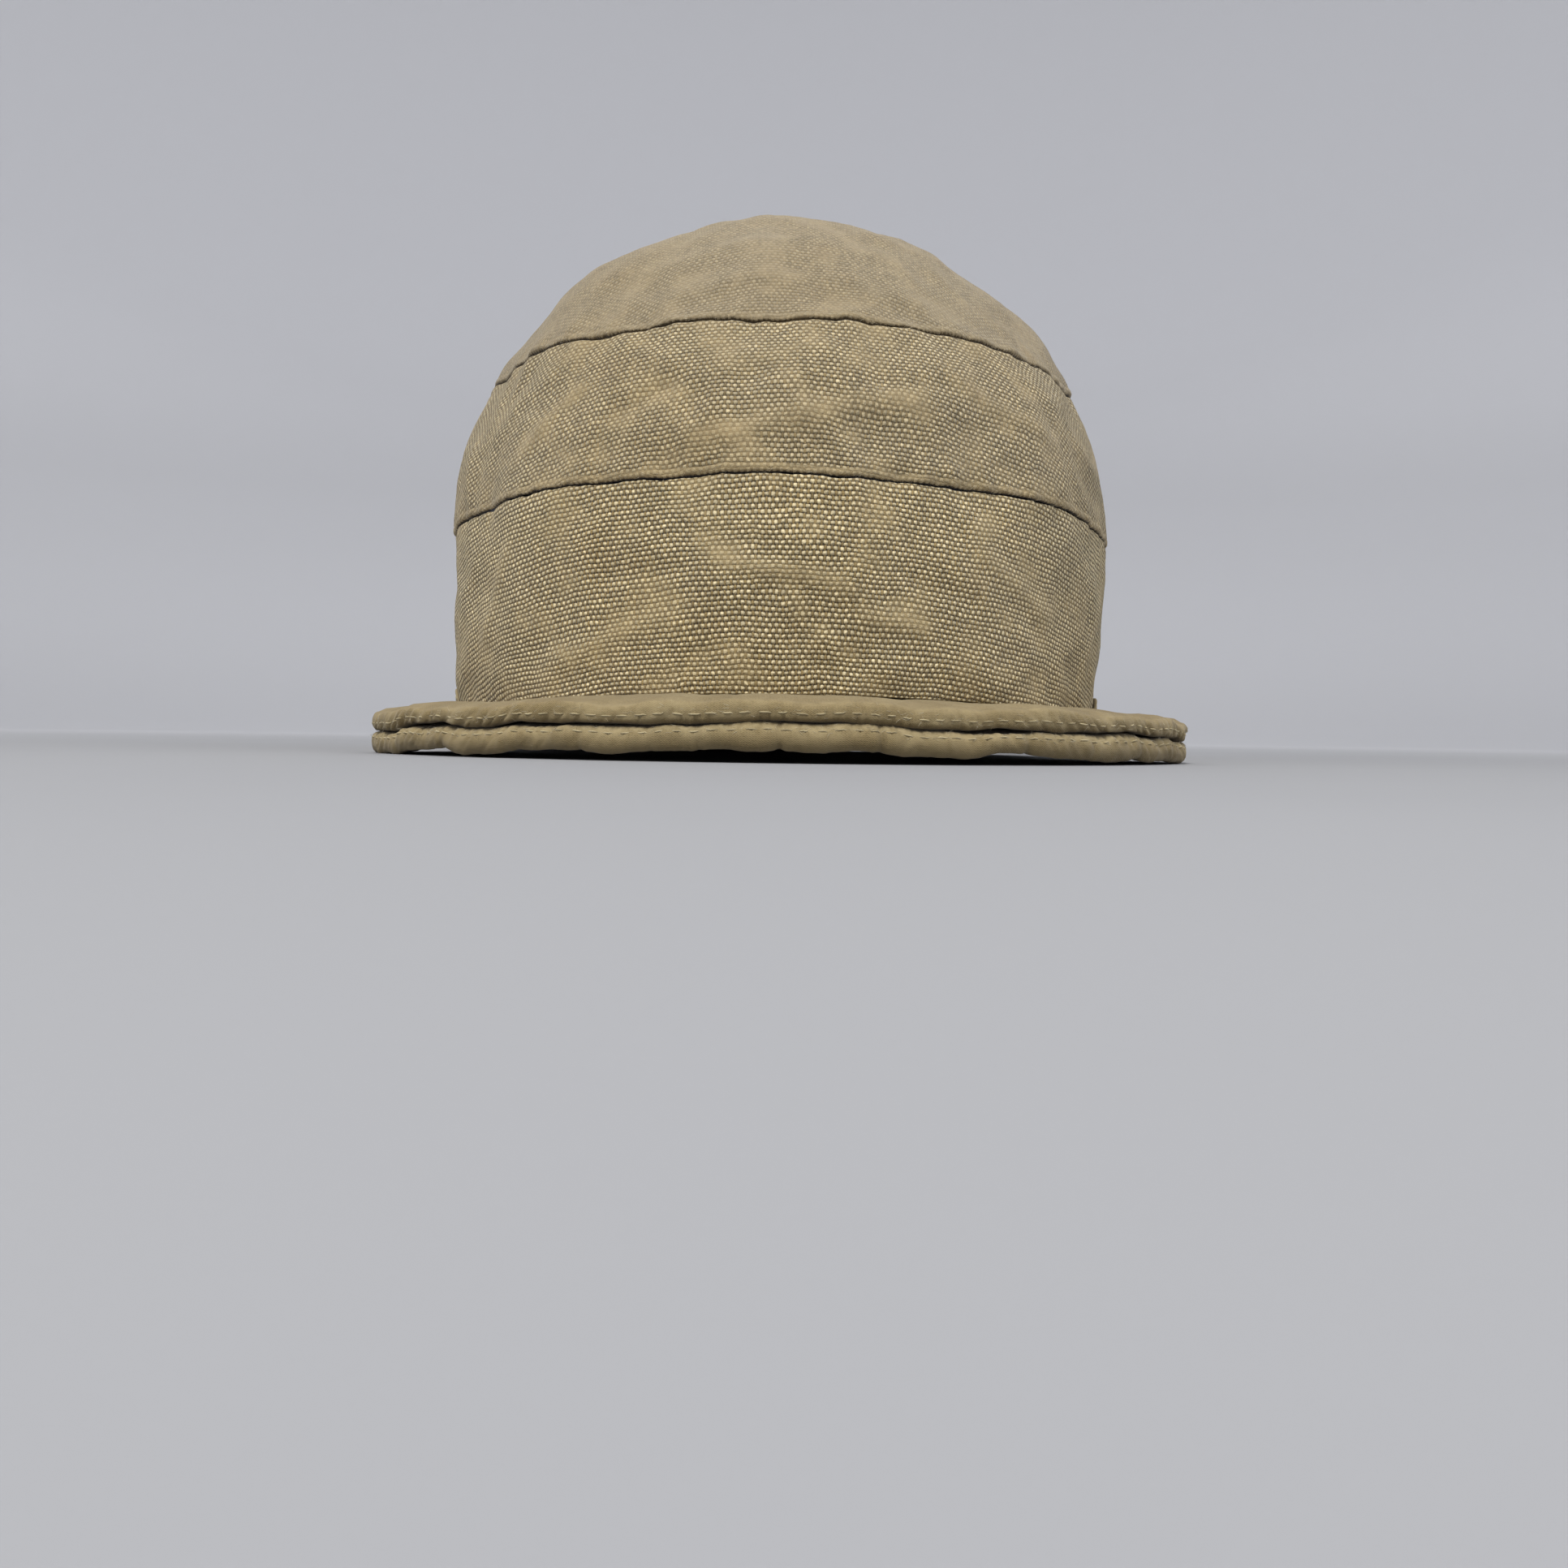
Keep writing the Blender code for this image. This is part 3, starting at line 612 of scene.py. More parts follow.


# Section of the binding, in millimetres: up the outer face, down inside the channel that
# holds the cloth edges, and down the inner face; each row with offset, rise, wear and painted
# shade, which darkens the inside of the channel
BINDING_SECTION = table(Edge, (
    (-1.60, -1.75, 0.1), (-1.55, 0.20, 0.3), (-1.20, 1.05, 0.8), (-0.50, 1.50, 0.9),
    (0.80, 1.66, 0.5), (2.20, 1.70, 0.2), (3.60, 1.70, 0.1), (5.00, 1.68, 0.1), (6.00, 1.58, 0.0),
    (6.60, 1.40, 0.0, 0.3), (7.20, 1.56, 0.2), (7.90, 1.60, 0.6), (8.35, 1.45, 0.9),
    (8.60, 1.10, 0.5, 0.2), (8.60, 0.60, 0.1, 0.8), (8.30, 0.30, 0.0, 1.0), (4.00, 0.30, 0.0),
    (-0.25, 0.30, 0.0), (-0.30, -1.75, 0.0), (-0.25, -3.80, 0.0), (3.00, -3.82, 0.0),
    (5.50, -3.86, 0.0), (6.00, -4.15, 0.2), (6.00, -4.75, 0.4), (5.50, -5.10, 0.4),
    (3.00, -5.15, 0.1), (0.00, -5.12, 0.2), (-1.00, -4.90, 0.5), (-1.50, -4.00, 0.3),
))
BINDING_STITCH_ROW = 9
BINDING_UPPER_EDGE = slice(11, 15)
BINDING_OUTER_FACE_ROW = 5
BINDING_END = 6.0 * MM


def make_binding(material):
    """The folded strip that finishes the rim behind the peak."""
    from_peak = np.abs(CROWN.angles) - PEAK_HALF_ANGLE - BINDING_TO_PEAK
    columns = [np.flatnonzero((from_peak > 0) & side) for side in (CROWN.angles > 0, CROWN.angles < 0)]
    columns = np.concatenate(columns)
    shape = (len(BINDING_SECTION), len(columns))
    offset, rise, wear, dirt = (np.array(value)[:, None] for value in zip(*BINDING_SECTION))
    along = np.broadcast_to(offset * MM, shape).copy()
    base = on_crown(along, rise * MM, columns)
    shown = (rise > 0.35) | (rise < -3.9)  # the outer and the inner face
    drift = 0.45 * MM * noise_at(base * (1, 1, 0.1), 14 * MM, 71)
    along[BINDING_UPPER_EDGE] += drift[BINDING_UPPER_EDGE]
    swell = 0.16 * MM * noise_at(base, 5 * MM, 72) + 0.12 * MM * noise_at(base, 2.4 * MM, 73)
    away = np.where(rise > 0, 1.0, -1.0)
    # Towards the peak the outer face gets lower and thinner
    ended = np.radians(from_peak[columns]) * RIM_HALF_LENGTH / BINDING_END
    outer = (rise > 0.2) * (1.0 - smooth_step(ended))
    along -= outer * np.maximum(along - 3.0 * MM, 0.0) * 0.75
    swell = swell - outer * np.maximum(rise - 0.45, 0.0) * 0.80 * MM
    points = on_crown(along, rise * MM + away * shown * (swell + 0.10 * MM), columns)
    across = np.append(running_length(base[BINDING_OUTER_FACE_ROW]), 0.0) / MM
    section = np.stack((offset[:, 0], rise[:, 0]), -1)
    section = running_length(np.concatenate((section, section[:1])))[1:]
    section = np.append(section, section[-1])
    places = np.stack(np.broadcast_arrays(across[None], section[:, None]), -1)
    wear, dirt = (np.broadcast_to(values, shape) for values in (wear, dirt))
    grid = Grid(points, True, False)
    return grid_piece(
        "binding_strip", "rim_binding", grid, places, wear, dirt, material
    )


# Peak


PEAK_ANGLES = np.linspace(-PEAK_HALF_ANGLE, PEAK_HALF_ANGLE, PEAK_STATIONS)
PEAK_STEP = PEAK_ANGLES[1] - PEAK_ANGLES[0]
PEAK_EDGE, PEAK_OUT = rim_edge(PEAK_ANGLES)


def beside_rim(distance, height):
    """Points beside the front of the rim, one for each station of the peak."""
    points = PEAK_EDGE + np.asarray(distance)[..., None] * PEAK_OUT
    points[..., 2] += height
    return points


def filled(values, spread):
    """Station values with their gaps closed, blurred over the facets of the solids."""
    known = ~np.isnan(values)
    stations = np.arange(PEAK_STATIONS)
    full = np.interp(stations, stations[known], values[known])
    return blur_open(full, spread / PEAK_STEP)


# Creases that the edge stitching pulls into the rolls of the peak: angle, depth and half
# width in millimetres
EdgeCrease = namedtuple("EdgeCrease", "angle depth width")
NOTCH_SPAN = 5.0  # how far round a notch is bridged
LOWER_ROLL_CREASES = table(EdgeCrease, (
    (-66.0, 0.27, 0.8), (-59.0, 0.23, 0.7), (-51.0, 0.27, 0.8), (-41.0, 0.39, 1.0),
    (-31.0, 0.23, 0.7), (-22.0, 0.43, 0.8), (-14.5, 0.23, 0.7), (-9.5, 0.35, 0.7),
    (-1.5, 0.58, 0.8), (3.5, 0.20, 0.7), (8.5, 0.66, 0.8), (14.0, 0.20, 0.7), (25.0, 0.62, 1.0),
    (34.0, 0.23, 0.8), (43.0, 0.39, 1.0), (52.0, 0.27, 0.8), (60.0, 0.31, 0.8), (67.0, 0.27, 0.8),
))
UPPER_ROLL_CREASES = table(EdgeCrease, (
    (-66.0, 0.35, 0.6), (-58.0, 0.40, 0.7), (-50.5, 0.35, 0.6), (-43.0, 0.35, 0.6),
    (-35.0, 0.25, 0.5), (-12.0, 0.20, 0.5), (17.0, 0.20, 0.5), (36.0, 0.25, 0.5), (44.0, 0.35, 0.6),
    (50.0, 0.35, 0.6), (56.0, 0.35, 0.6), (62.0, 0.45, 0.6), (68.0, 0.35, 0.6),
))


def read_reach(tree):
    """How far a layer of the peak stands out of the rim at each station, carried over the
    notches of its edge."""
    best = np.full(PEAK_STATIONS, np.nan)
    # The peak hangs between these heights
    for height in np.arange(-0.5, -15.0, -0.5) * MM:
        distance = cast(tree, beside_rim(BESIDE_PEAK, height), -PEAK_OUT)[1]
        best = np.fmax(best, BESIDE_PEAK - distance)
    smooth = filled(best, 0.1)
    span = int(NOTCH_SPAN / 2 / PEAK_STEP)
    widest = [smooth[max(0, at - span):at + span + 1].max() for at in range(PEAK_STATIONS)]
    shown = smooth_step((PEAK_HALF_ANGLE - 7.0 - np.abs(PEAK_ANGLES)) / 6.0)
    return filled(smooth + shown * (np.array(widest) - smooth), REACH_BLUR)


def read_level(tree, distance, from_above, spread=0.9):
    """Height of a layer's upper or lower face at a distance from the rim."""
    side = 1.0 if from_above else -1.0
    starts = beside_rim(distance, side * OVER_PEAK)
    return filled(cast(tree, starts, (0.0, 0.0, -side))[0], spread)


def crease_cuts(creases):
    """Depth of the stitched-in creases at each station."""
    arc = np.radians(PEAK_ANGLES) * RIM_RADIUS * PEAK_SPREAD
    depth = np.zeros(PEAK_STATIONS)
    for crease in creases:
        place = math.radians(crease.angle) * RIM_RADIUS * PEAK_SPREAD
        depth += crease.depth * MM * bell(arc - place, crease.width * MM)
    return depth


def slit_wave(distance):
    """How the parting of the two layers strays up and down, for both layers alike."""
    ring = PEAK_EDGE * PEAK_SPREAD
    wave = 0.95 * noise_at(ring, 19 * MM, 88) + 0.50 * noise_at(ring, 7 * MM, 89)
    reach = np.max(distance, axis=0)
    return wave * MM * smooth_step(distance / reach) * smooth_step(reach / (14 * MM))


def near_slit_puckers(points, gather, seed):
    """Slanting creases, in millimetres, that the stitches gather into the cloth."""
    round_way = running_length(points, 1)
    round_way -= round_way[:, PEAK_STATIONS // 2][:, None]
    down_way = running_length(points)
    lean = 0.9 * np.sign(round_way) * smooth_step(np.abs(round_way) / (45 * MM))
    place = np.stack((round_way + lean * down_way, 0.22 * down_way, np.zeros_like(down_way)), -1)
    lines = noise_at(place, 3.4 * MM, seed + 5)
    finer = noise_at(place * (1.0, 1.6, 1.0), 1.7 * MM, seed + 6)
    sides = 0.8 + 0.7 * smooth_step((np.abs(PEAK_ANGLES) - 18.0) / 25.0)
    return gather * sides[None] * (0.44 * bell(lines, 0.13) + 0.28 * finer)


def peak_piece(name, node, rows, parting, creases, seed, material):
    """One layer of the peak from the rows of its section, with the relief of padded cloth."""
    distance, height, wear, weight, gather = (
        np.stack([np.broadcast_to(row[part], PEAK_STATIONS) for row in rows]) for part in range(5)
    )
    points = beside_rim(distance, height + slit_wave(distance))
    normals = grid_normals(Grid(points, True, False))
    ring = points * (1, 1, 0.35)
    size = smooth_step((np.max(distance, axis=0) - 4 * MM) / (12 * MM))[None]
    loose = 1.0 - smooth_step(gather / 0.9)
    swell = (0.25 + 0.75 * loose) * 0.80 * noise_at(points, 17 * MM, seed) * size
    swell += (0.3 + 0.7 * loose) * weight * (0.50 * noise_at(ring, 6.5 * MM, seed + 1) * size)
    swell += weight * 0.20 * noise_at(ring, 2.6 * MM, seed + 2)
    swell += 0.12 * noise_at(points, 4.0 * MM, seed + 3)
    swell -= near_slit_puckers(points, gather, seed) * size
    cuts = crease_cuts(creases)[None] * weight * size
    points = points + normals * (swell * MM - cuts)[..., None]
    across = np.append(running_length(points[len(rows) // 2]), 0.0)
    section = running_length(np.stack((distance, height), -1)[:, PEAK_STATIONS // 2])
    section = np.append(section, section[-1] + 2 * MM)
    places = np.stack(np.broadcast_arrays(across[None], section[:, None]), -1) / MM
    wear = wear + weight * (0.5 * noise_at(points, 9 * MM, seed + 4) + 0.1)
    # Painted shade: dark in the slit, in the stitched-in creases and below the parting of the layers
    in_slit = 1.0 - smooth_step(np.abs(height - parting) / (0.8 * MM))
    beneath = smooth_step((parting - 1.6 * MM - height) / (2.6 * MM))
    dirt = 0.85 * in_slit + 0.35 * cuts / MM + 0.34 * beneath
    wear, dirt = (np.clip(values, 0.0, 1.0) for values in (wear, dirt))
    grid = Grid(points, True, False)
    return grid_piece(name, node, grid, places, wear, dirt, material)


# Rows of the peak's section: distance from the rim and height, each for every station or for
# all alike, then wear, how much the row belongs to the roll, and how it is gathered
PeakRow = namedtuple("PeakRow", "distance height wear weight gather", defaults=(0.0, 0.0, 0.0))
Roll = namedtuple("Roll", "start end wear weight gather")
UPPER_ROLL = Roll(
    -72, 84,
    (0.0, 0.0, 0.05, 0.35, 0.5, 0.3, 0.25, 0.25, 0.25, 0.3, 0.3, 0.3, 0.2, 0.1),
    (0.5, 0.7, 0.9, 1.0, 1.0, 1.0, 1.0, 1.0, 1.0, 0.95, 0.9, 0.85, 0.75, 0.7),
    (0.3, 0.6, 0.9, 1.0, 1.0, 1.0, 0.95, 0.85, 0.7, 0.55, 0.4, 0.3, 0.2, 0.15),
)
LOWER_ROLL = Roll(
    -80, 72,
    (0.1, 0.1, 0.1, 0.1, 0.1, 0.1, 0.15, 0.2, 0.3, 0.4, 0.55, 0.75, 0.9, 0.85, 0.5),
    (0.7, 0.8, 0.9, 1.0, 1.0, 1.0, 1.0, 1.0, 1.0, 1.0, 1.0, 0.9, 0.8, 0.6, 0.4),
    (0.15, 0.2, 0.25, 0.3, 0.35, 0.4, 0.5, 0.6, 0.75, 0.9, 1.0, 1.0, 0.9, 0.7, 0.4),
)
Layer = namedtuple("Layer", "reach parting radius facing roll")


def gather_at(share):
    """How the cloth beside the roll is gathered, at a share of the layer's reach."""
    return 0.1 if share > 0.75 else 0.05


def read_layer(tree, is_upper, shoulder_depth, slit_weight, roll):
    """The form of a layer at each station, its rows that face the other layer, from the root
    to the slit, and the rows of its rolled edge, from below to above."""
    side = 1.0 if is_upper else -1.0
    reach = read_reach(tree)
    slit = np.minimum(SLIT_DEPTH, 0.45 * reach)
    parting = read_level(tree, reach - slit - 0.4 * MM, not is_upper)
    shoulder = np.maximum(reach - shoulder_depth, 0.4 * reach)
    thickness = side * (read_level(tree, shoulder, is_upper) - parting)
    radius = np.minimum(thickness * 0.5, 0.45 * reach)
    root = read_level(tree, -1.5 * MM, not is_upper)
    facing = [
        PeakRow(-PEAK_ROOT, root),
        PeakRow(0.0, root),
        PeakRow(reach / 2, read_level(tree, reach / 2, not is_upper)),
        PeakRow(reach - slit, parting, 0.0, slit_weight),
    ]
    turns = np.radians(np.linspace(roll.start, roll.end, len(roll.wear)))
    rolled = [
        PeakRow(
            reach - radius + radius * np.cos(turn) ** 0.72,
            parting + side * thickness / 2 + thickness / 2 * np.sin(turn),
            *looks,
        )
        for turn, *looks in zip(turns, roll.wear, roll.weight, roll.gather)
    ]
    return Layer(reach, parting, radius, facing, rolled)


def underside_folds(share):
    """How deep the gathers of the underside are at a share of its reach: narrow creases that
    fan out from the rim and fade before the rolled edge."""
    fan = PEAK_EDGE * (1.0 + 0.30 * share)
    sides = 0.35 + 0.65 * smooth_step((np.abs(PEAK_ANGLES) - 12.0) / 30.0)
    lean = np.radians(PEAK_ANGLES)[:, None] * share * 9 * MM
    lines = noise_at(fan + lean, 8.5 * MM, 95)
    finer = noise_at(fan + lean, 3.6 * MM, 96)
    fade = 1.0 - smooth_step((share - 0.35) / 0.6)
    return MM * fade * sides * (1.5 * bell(lines, 0.16) + 0.55 * finer)


def make_peak_upper(material):
    """The upper layer of the peak, with a turned and stitched edge over the slit."""
    tree = solid_tree("peak_upper")
    layer = read_layer(tree, True, 2.4 * MM, 0.2, UPPER_ROLL)
    rows = layer.facing + layer.roll
    for share in UPPER_SIDE_SHARES:
        distance = share * (layer.reach - layer.radius)
        puff = 0.55 * MM * np.sin(math.pi * min(share / 0.3, 1.0) * 0.5)
        level = read_level(tree, distance, True) + puff * smooth_step(layer.reach / (9 * MM))
        rows.append(PeakRow(distance, level, 0.1, 0.6 * share, gather_at(share)))
    rows += [PeakRow(-0.2 * MM, -0.25 * MM), PeakRow(-PEAK_ROOT, -0.3 * MM)]
    return peak_piece(
        "peak_upper_cloth", "peak_upper", rows, layer.parting, UPPER_ROLL_CREASES, 81, material
    )


def make_peak_lower(material):
    """The padded lower layer, with its rolled edge and the folds of its underside."""
    tree = solid_tree("peak_lower")
    layer = read_layer(tree, False, 2.9 * MM, 0.1, LOWER_ROLL)
    behind = -2.8 * MM
    below = read_level(tree, behind, False)
    root = layer.facing[0].height
    rows = [PeakRow(-PEAK_ROOT, (root + below) / 2), PeakRow(behind, below, 0.0, 0.1)]
    for share in UNDERSIDE_SHARES:
        distance = share * (layer.reach - layer.radius)
        level = read_level(tree, distance, False, 0.35)
        depth = underside_folds(share) * smooth_step((layer.reach - 4 * MM) / (10 * MM))
        rows.append(PeakRow(distance, level + depth, 0.0, 0.15 + 0.5 * share, gather_at(share)))
    rows += layer.roll + layer.facing[::-1]
    return peak_piece(
        "peak_lower_cloth", "peak_lower", rows, layer.parting, LOWER_ROLL_CREASES, 91, material
    )


# Threads and fibres


def tube_piece(name, paths, radii, sides, material):
    """One piece of many thin tubes, each along a row of points with these radii."""
    paths = np.array(paths)[:, :, None]
    ahead = unit(np.gradient(paths, axis=1))
    side = unit(np.cross(ahead, (0.31, 0.17, 0.93)))
    turn = np.radians(np.arange(sides) * 360.0 / sides)[:, None]
    around = np.cos(turn) * side + np.sin(turn) * np.cross(side, ahead)
    vertices = (paths + radii[:, None, None] * around).reshape(-1, 3).tolist()
    walls = grid_faces(len(radii), sides)[0]
    ends = np.arange(sides)[::-1], np.arange(sides) + (len(radii) - 1) * sides
    faces = []
    for first in range(0, len(vertices), len(radii) * sides):
        faces += (first + walls).tolist() + [(first + end).tolist() for end in ends]
    cap_piece(name, vertices, faces, material)


STITCH_LIFT = np.array((-0.30, 0.55, 1.0, 0.55, -0.30))
STITCH_SHAPE = np.array((0.6, 0.95, 1.0, 0.95, 0.6))


def stitch_paths(line, normals, pitch, length, height, seed):
    """Stitches along a line of points: each dips into the cloth at both ends."""
    random = np.random.default_rng(seed)
    total = running_length(line)
    paths = []
    start = pitch
    while start + length < total[-1]:
        stretch = length * random.uniform(0.8, 1.1)
        at = start + stretch * np.linspace(0.0, 1.0, len(STITCH_LIFT))
        point, normal = (
            np.stack([np.interp(at, total, values[:, axis]) for axis in range(3)], -1)
            for values in (line, normals)
        )
        sway = np.array((0.0, 0.0, 0.0, random.uniform(-0.1, 0.1), random.uniform(-0.2, 0.2))) * MM
        side = unit(np.cross(normal, point[-1] - point[0]))
        paths.append(point + normal * (STITCH_LIFT * height)[:, None] + side * sway[:, None])
        start += pitch * random.uniform(0.9, 1.12)
    return paths


def make_stitches(name, grid, row, pitch, length, width, material, seed):
    """A row of stitches along a row of a grid of points."""
    line = lay(grid.points[row])
    normals = turned(grid_normals(grid)[row])
    paths = stitch_paths(line, normals, pitch, length, width * 0.7, seed + row)
    tube_piece(name, paths, STITCH_SHAPE * width, 6, material)


FIBRE_RADII = np.array((0.035, 0.03, 0.025, 0.010)) * MM
Stretch = namedtuple("Stretch", "grid first last count length lift seed")


def fibre_paths(stretch):
    """Loose fibres that lie on a stretch of worn cloth or stand a little off it."""
    random = np.random.default_rng(stretch.seed)
    rows = slice(stretch.first, stretch.last)
    shown = lay(stretch.grid.points)[rows]
    outward = turned(grid_normals(stretch.grid))[rows]
    steps = np.linspace(0.0, 1.0, len(FIBRE_RADII))[:, None]
    paths = []
    for _ in range(stretch.count):
        row = random.integers(1, len(shown) - 1)
        column = random.integers(1, shown.shape[1] - 2)
        normal = outward[row, column]
        along = unit(shown[row, column + 1] - shown[row, column - 1])
        across = np.cross(normal, along)
        turn = random.uniform(-0.8, 0.8)
        ahead = along * math.cos(turn) + across * math.sin(turn)
        ahead *= random.choice((-1.0, 1.0))
        bend = np.cross(normal, ahead) * random.uniform(-0.5, 0.5)
        reach = stretch.length * random.uniform(0.5, 1.3)
        rise = stretch.lift * random.uniform(0.2, 1.0)
        path = shown[row, column] + reach * steps * ahead + reach * steps ** 2 * bend
        path = path + normal * (rise * np.sin(steps * 2.2) - 0.02 * MM)
        paths.append(np.maximum(path, (-1.0, -1.0, 0.0)))
    return paths


def make_fibres(name, stretches, material):
    """One piece of the fibres of several stretches of cloth."""
    paths = []
    for stretch in stretches:
        paths += fibre_paths(stretch)
    tube_piece(name, paths, FIBRE_RADII, 3, material)


# Materials


class Signal:
    """What a node of a material gives; where it is a number, it can be reckoned with."""

    def __init__(self, cloth, socket):
        self.cloth = cloth
        self.socket = socket

    def __add__(self, other):
        return self.cloth.math("ADD", self, other)

    def __sub__(self, other):
        return self.cloth.math("SUBTRACT", self, other)

    def __rsub__(self, other):
        return self.cloth.math("SUBTRACT", other, self)

    def __mul__(self, other):
        return self.cloth.math("MULTIPLY", self, other)

    def __truediv__(self, other):
        return self.cloth.math("DIVIDE", self, other)


class Cloth:
    """A cloth material and shorthand for its nodes."""

    def __init__(self, name):
        self.material = bpy.data.materials.new(name)
        self.material.use_nodes = True
        self.tree = self.material.node_tree
        self.shader = self.tree.nodes["Principled BSDF"]

    def feed(self, socket, value):
        """Link a socket, or set it where the value is a plain one."""
        if isinstance(value, Signal):
            self.tree.links.new(value.socket, socket)
        else:
            socket.default_value = (*value, 1.0) if socket.type == "RGBA" else value

    def take(self, output, kind, inputs, **choices):
        """One output of a new node with these inputs and choices."""
        node = self.tree.nodes.new("ShaderNode" + kind)
        for choice, entry in choices.items():
            setattr(node, choice, entry)
        for socket, value in inputs.items():
            self.feed(node.inputs[socket], value)
        return Signal(self, node.outputs[output])

    def math(self, operation, *values):
        """A Math node's result."""
        return self.take(0, "Math", dict(enumerate(values)), operation=operation)

    def vector_math(self, operation, *values, output=0):
        """A Vector Math node's result."""
        return self.take(output, "VectorMath", dict(enumerate(values)), operation=operation)

    def places(self):
        """Weave coordinates in millimetres."""
        return self.take(0, "UVMap", {}, uv_map="weave")

    def attribute(self, name):
        """A value stored on the mesh."""
        return self.take("Fac", "Attribute", {}, attribute_name=name)

    def noise(self, vector, scale, detail=2.0, output="Fac"):
        """Noise whose scale counts features per unit of the vector."""
        inputs = {"Vector": vector, "Scale": scale, "Detail": detail}
        return self.take(output, "TexNoise", inputs)

    def stray(self, places, scale, amount, moved):
        """Places that were moved, pushed about further by noise."""
        push = self.noise(places, scale, output="Color")
        push = self.vector_math("SUBTRACT", push, (0.5, 0.5, 0.5))
        return self.vector_math("MULTIPLY_ADD", push, amount, moved)

    def ramp(self, value, low, high, to_low=0.0, to_high=1.0):
        """A value carried smoothly from one range to another and held at its ends."""
        inputs = dict(enumerate((value, low, high, to_low, to_high)))
        return self.take("Result", "MapRange", inputs, interpolation_type="SMOOTHSTEP")

    def spots(self, vector, scale, detail, *ranges):
        """Noise carried from one range to another."""
        return self.ramp(self.noise(vector, scale, detail), *ranges)

    def mix(self, share, first, second, blend="MIX"):
        """Two colours mixed."""
        inputs = {0: share, 6: first, 7: second}
        return self.take(2, "Mix", inputs, data_type="RGBA", blend_type=blend)

    def bump(self, height, distance):
        """Relief from a height between 0 and 1."""
        normal = self.take(0, "Bump", {"Height": height, "Distance": distance})
        self.feed(self.shader.inputs["Normal"], normal)

    def finish(self, colour, roughness, sheen):
        """Connect the colour and set what is even all over."""
        self.feed(self.shader.inputs["Base Color"], colour)
        self.shader.inputs["Metallic"].default_value = 0.0
        self.shader.inputs["Roughness"].default_value = roughness
        self.shader.inputs["Specular IOR Level"].default_value = 0.25
        self.shader.inputs["Sheen Weight"].default_value = sheen
        self.shader.inputs["Sheen Roughness"].default_value = 0.55
        return self.material


MOST_COVER = 0.92  # how much of the weave wear and painted shade can hide

# Looks of the canvas: colours of the weft's grains, between them, in the gaps, which is
# painted shade, and where it is worn; then how smooth it is all over, how mottled, and the
# height of its threads
Canvas = namedtuple("Canvas", "grain between gap worn smoothness mottling relief")
LOWER_CANVAS = Canvas(
    (0.78, 0.668, 0.421), (0.305, 0.219, 0.090), (0.055, 0.034, 0.012), (0.41, 0.320, 0.172),
    -0.06, 0.035, 0.48 * MM,
)
UPPER_CANVAS = Canvas(
    (0.60, 0.505, 0.313), (0.248, 0.180, 0.079), (0.060, 0.038, 0.014), (0.355, 0.276, 0.152),
    0.08, 0.07, 0.42 * MM,
)
TOP_CANVAS = Canvas(
    (0.39, 0.321, 0.203), (0.238, 0.183, 0.096), (0.075, 0.052, 0.024), (0.303, 0.240, 0.142),
    0.46, 0.045, 0.32 * MM,
)


def thread_height(cloth, along, across, swing, level, roundness):
    """Height of one set of threads, which go over and under the other set in turn."""
    side = cloth.math("COSINE", cloth.math("FLOOR", across) * math.pi)
    wave = cloth.math("SINE", along * math.pi) * side
    beside = cloth.math("FRACT", across) - 0.5
    return wave * swing + level - beside * beside * roundness


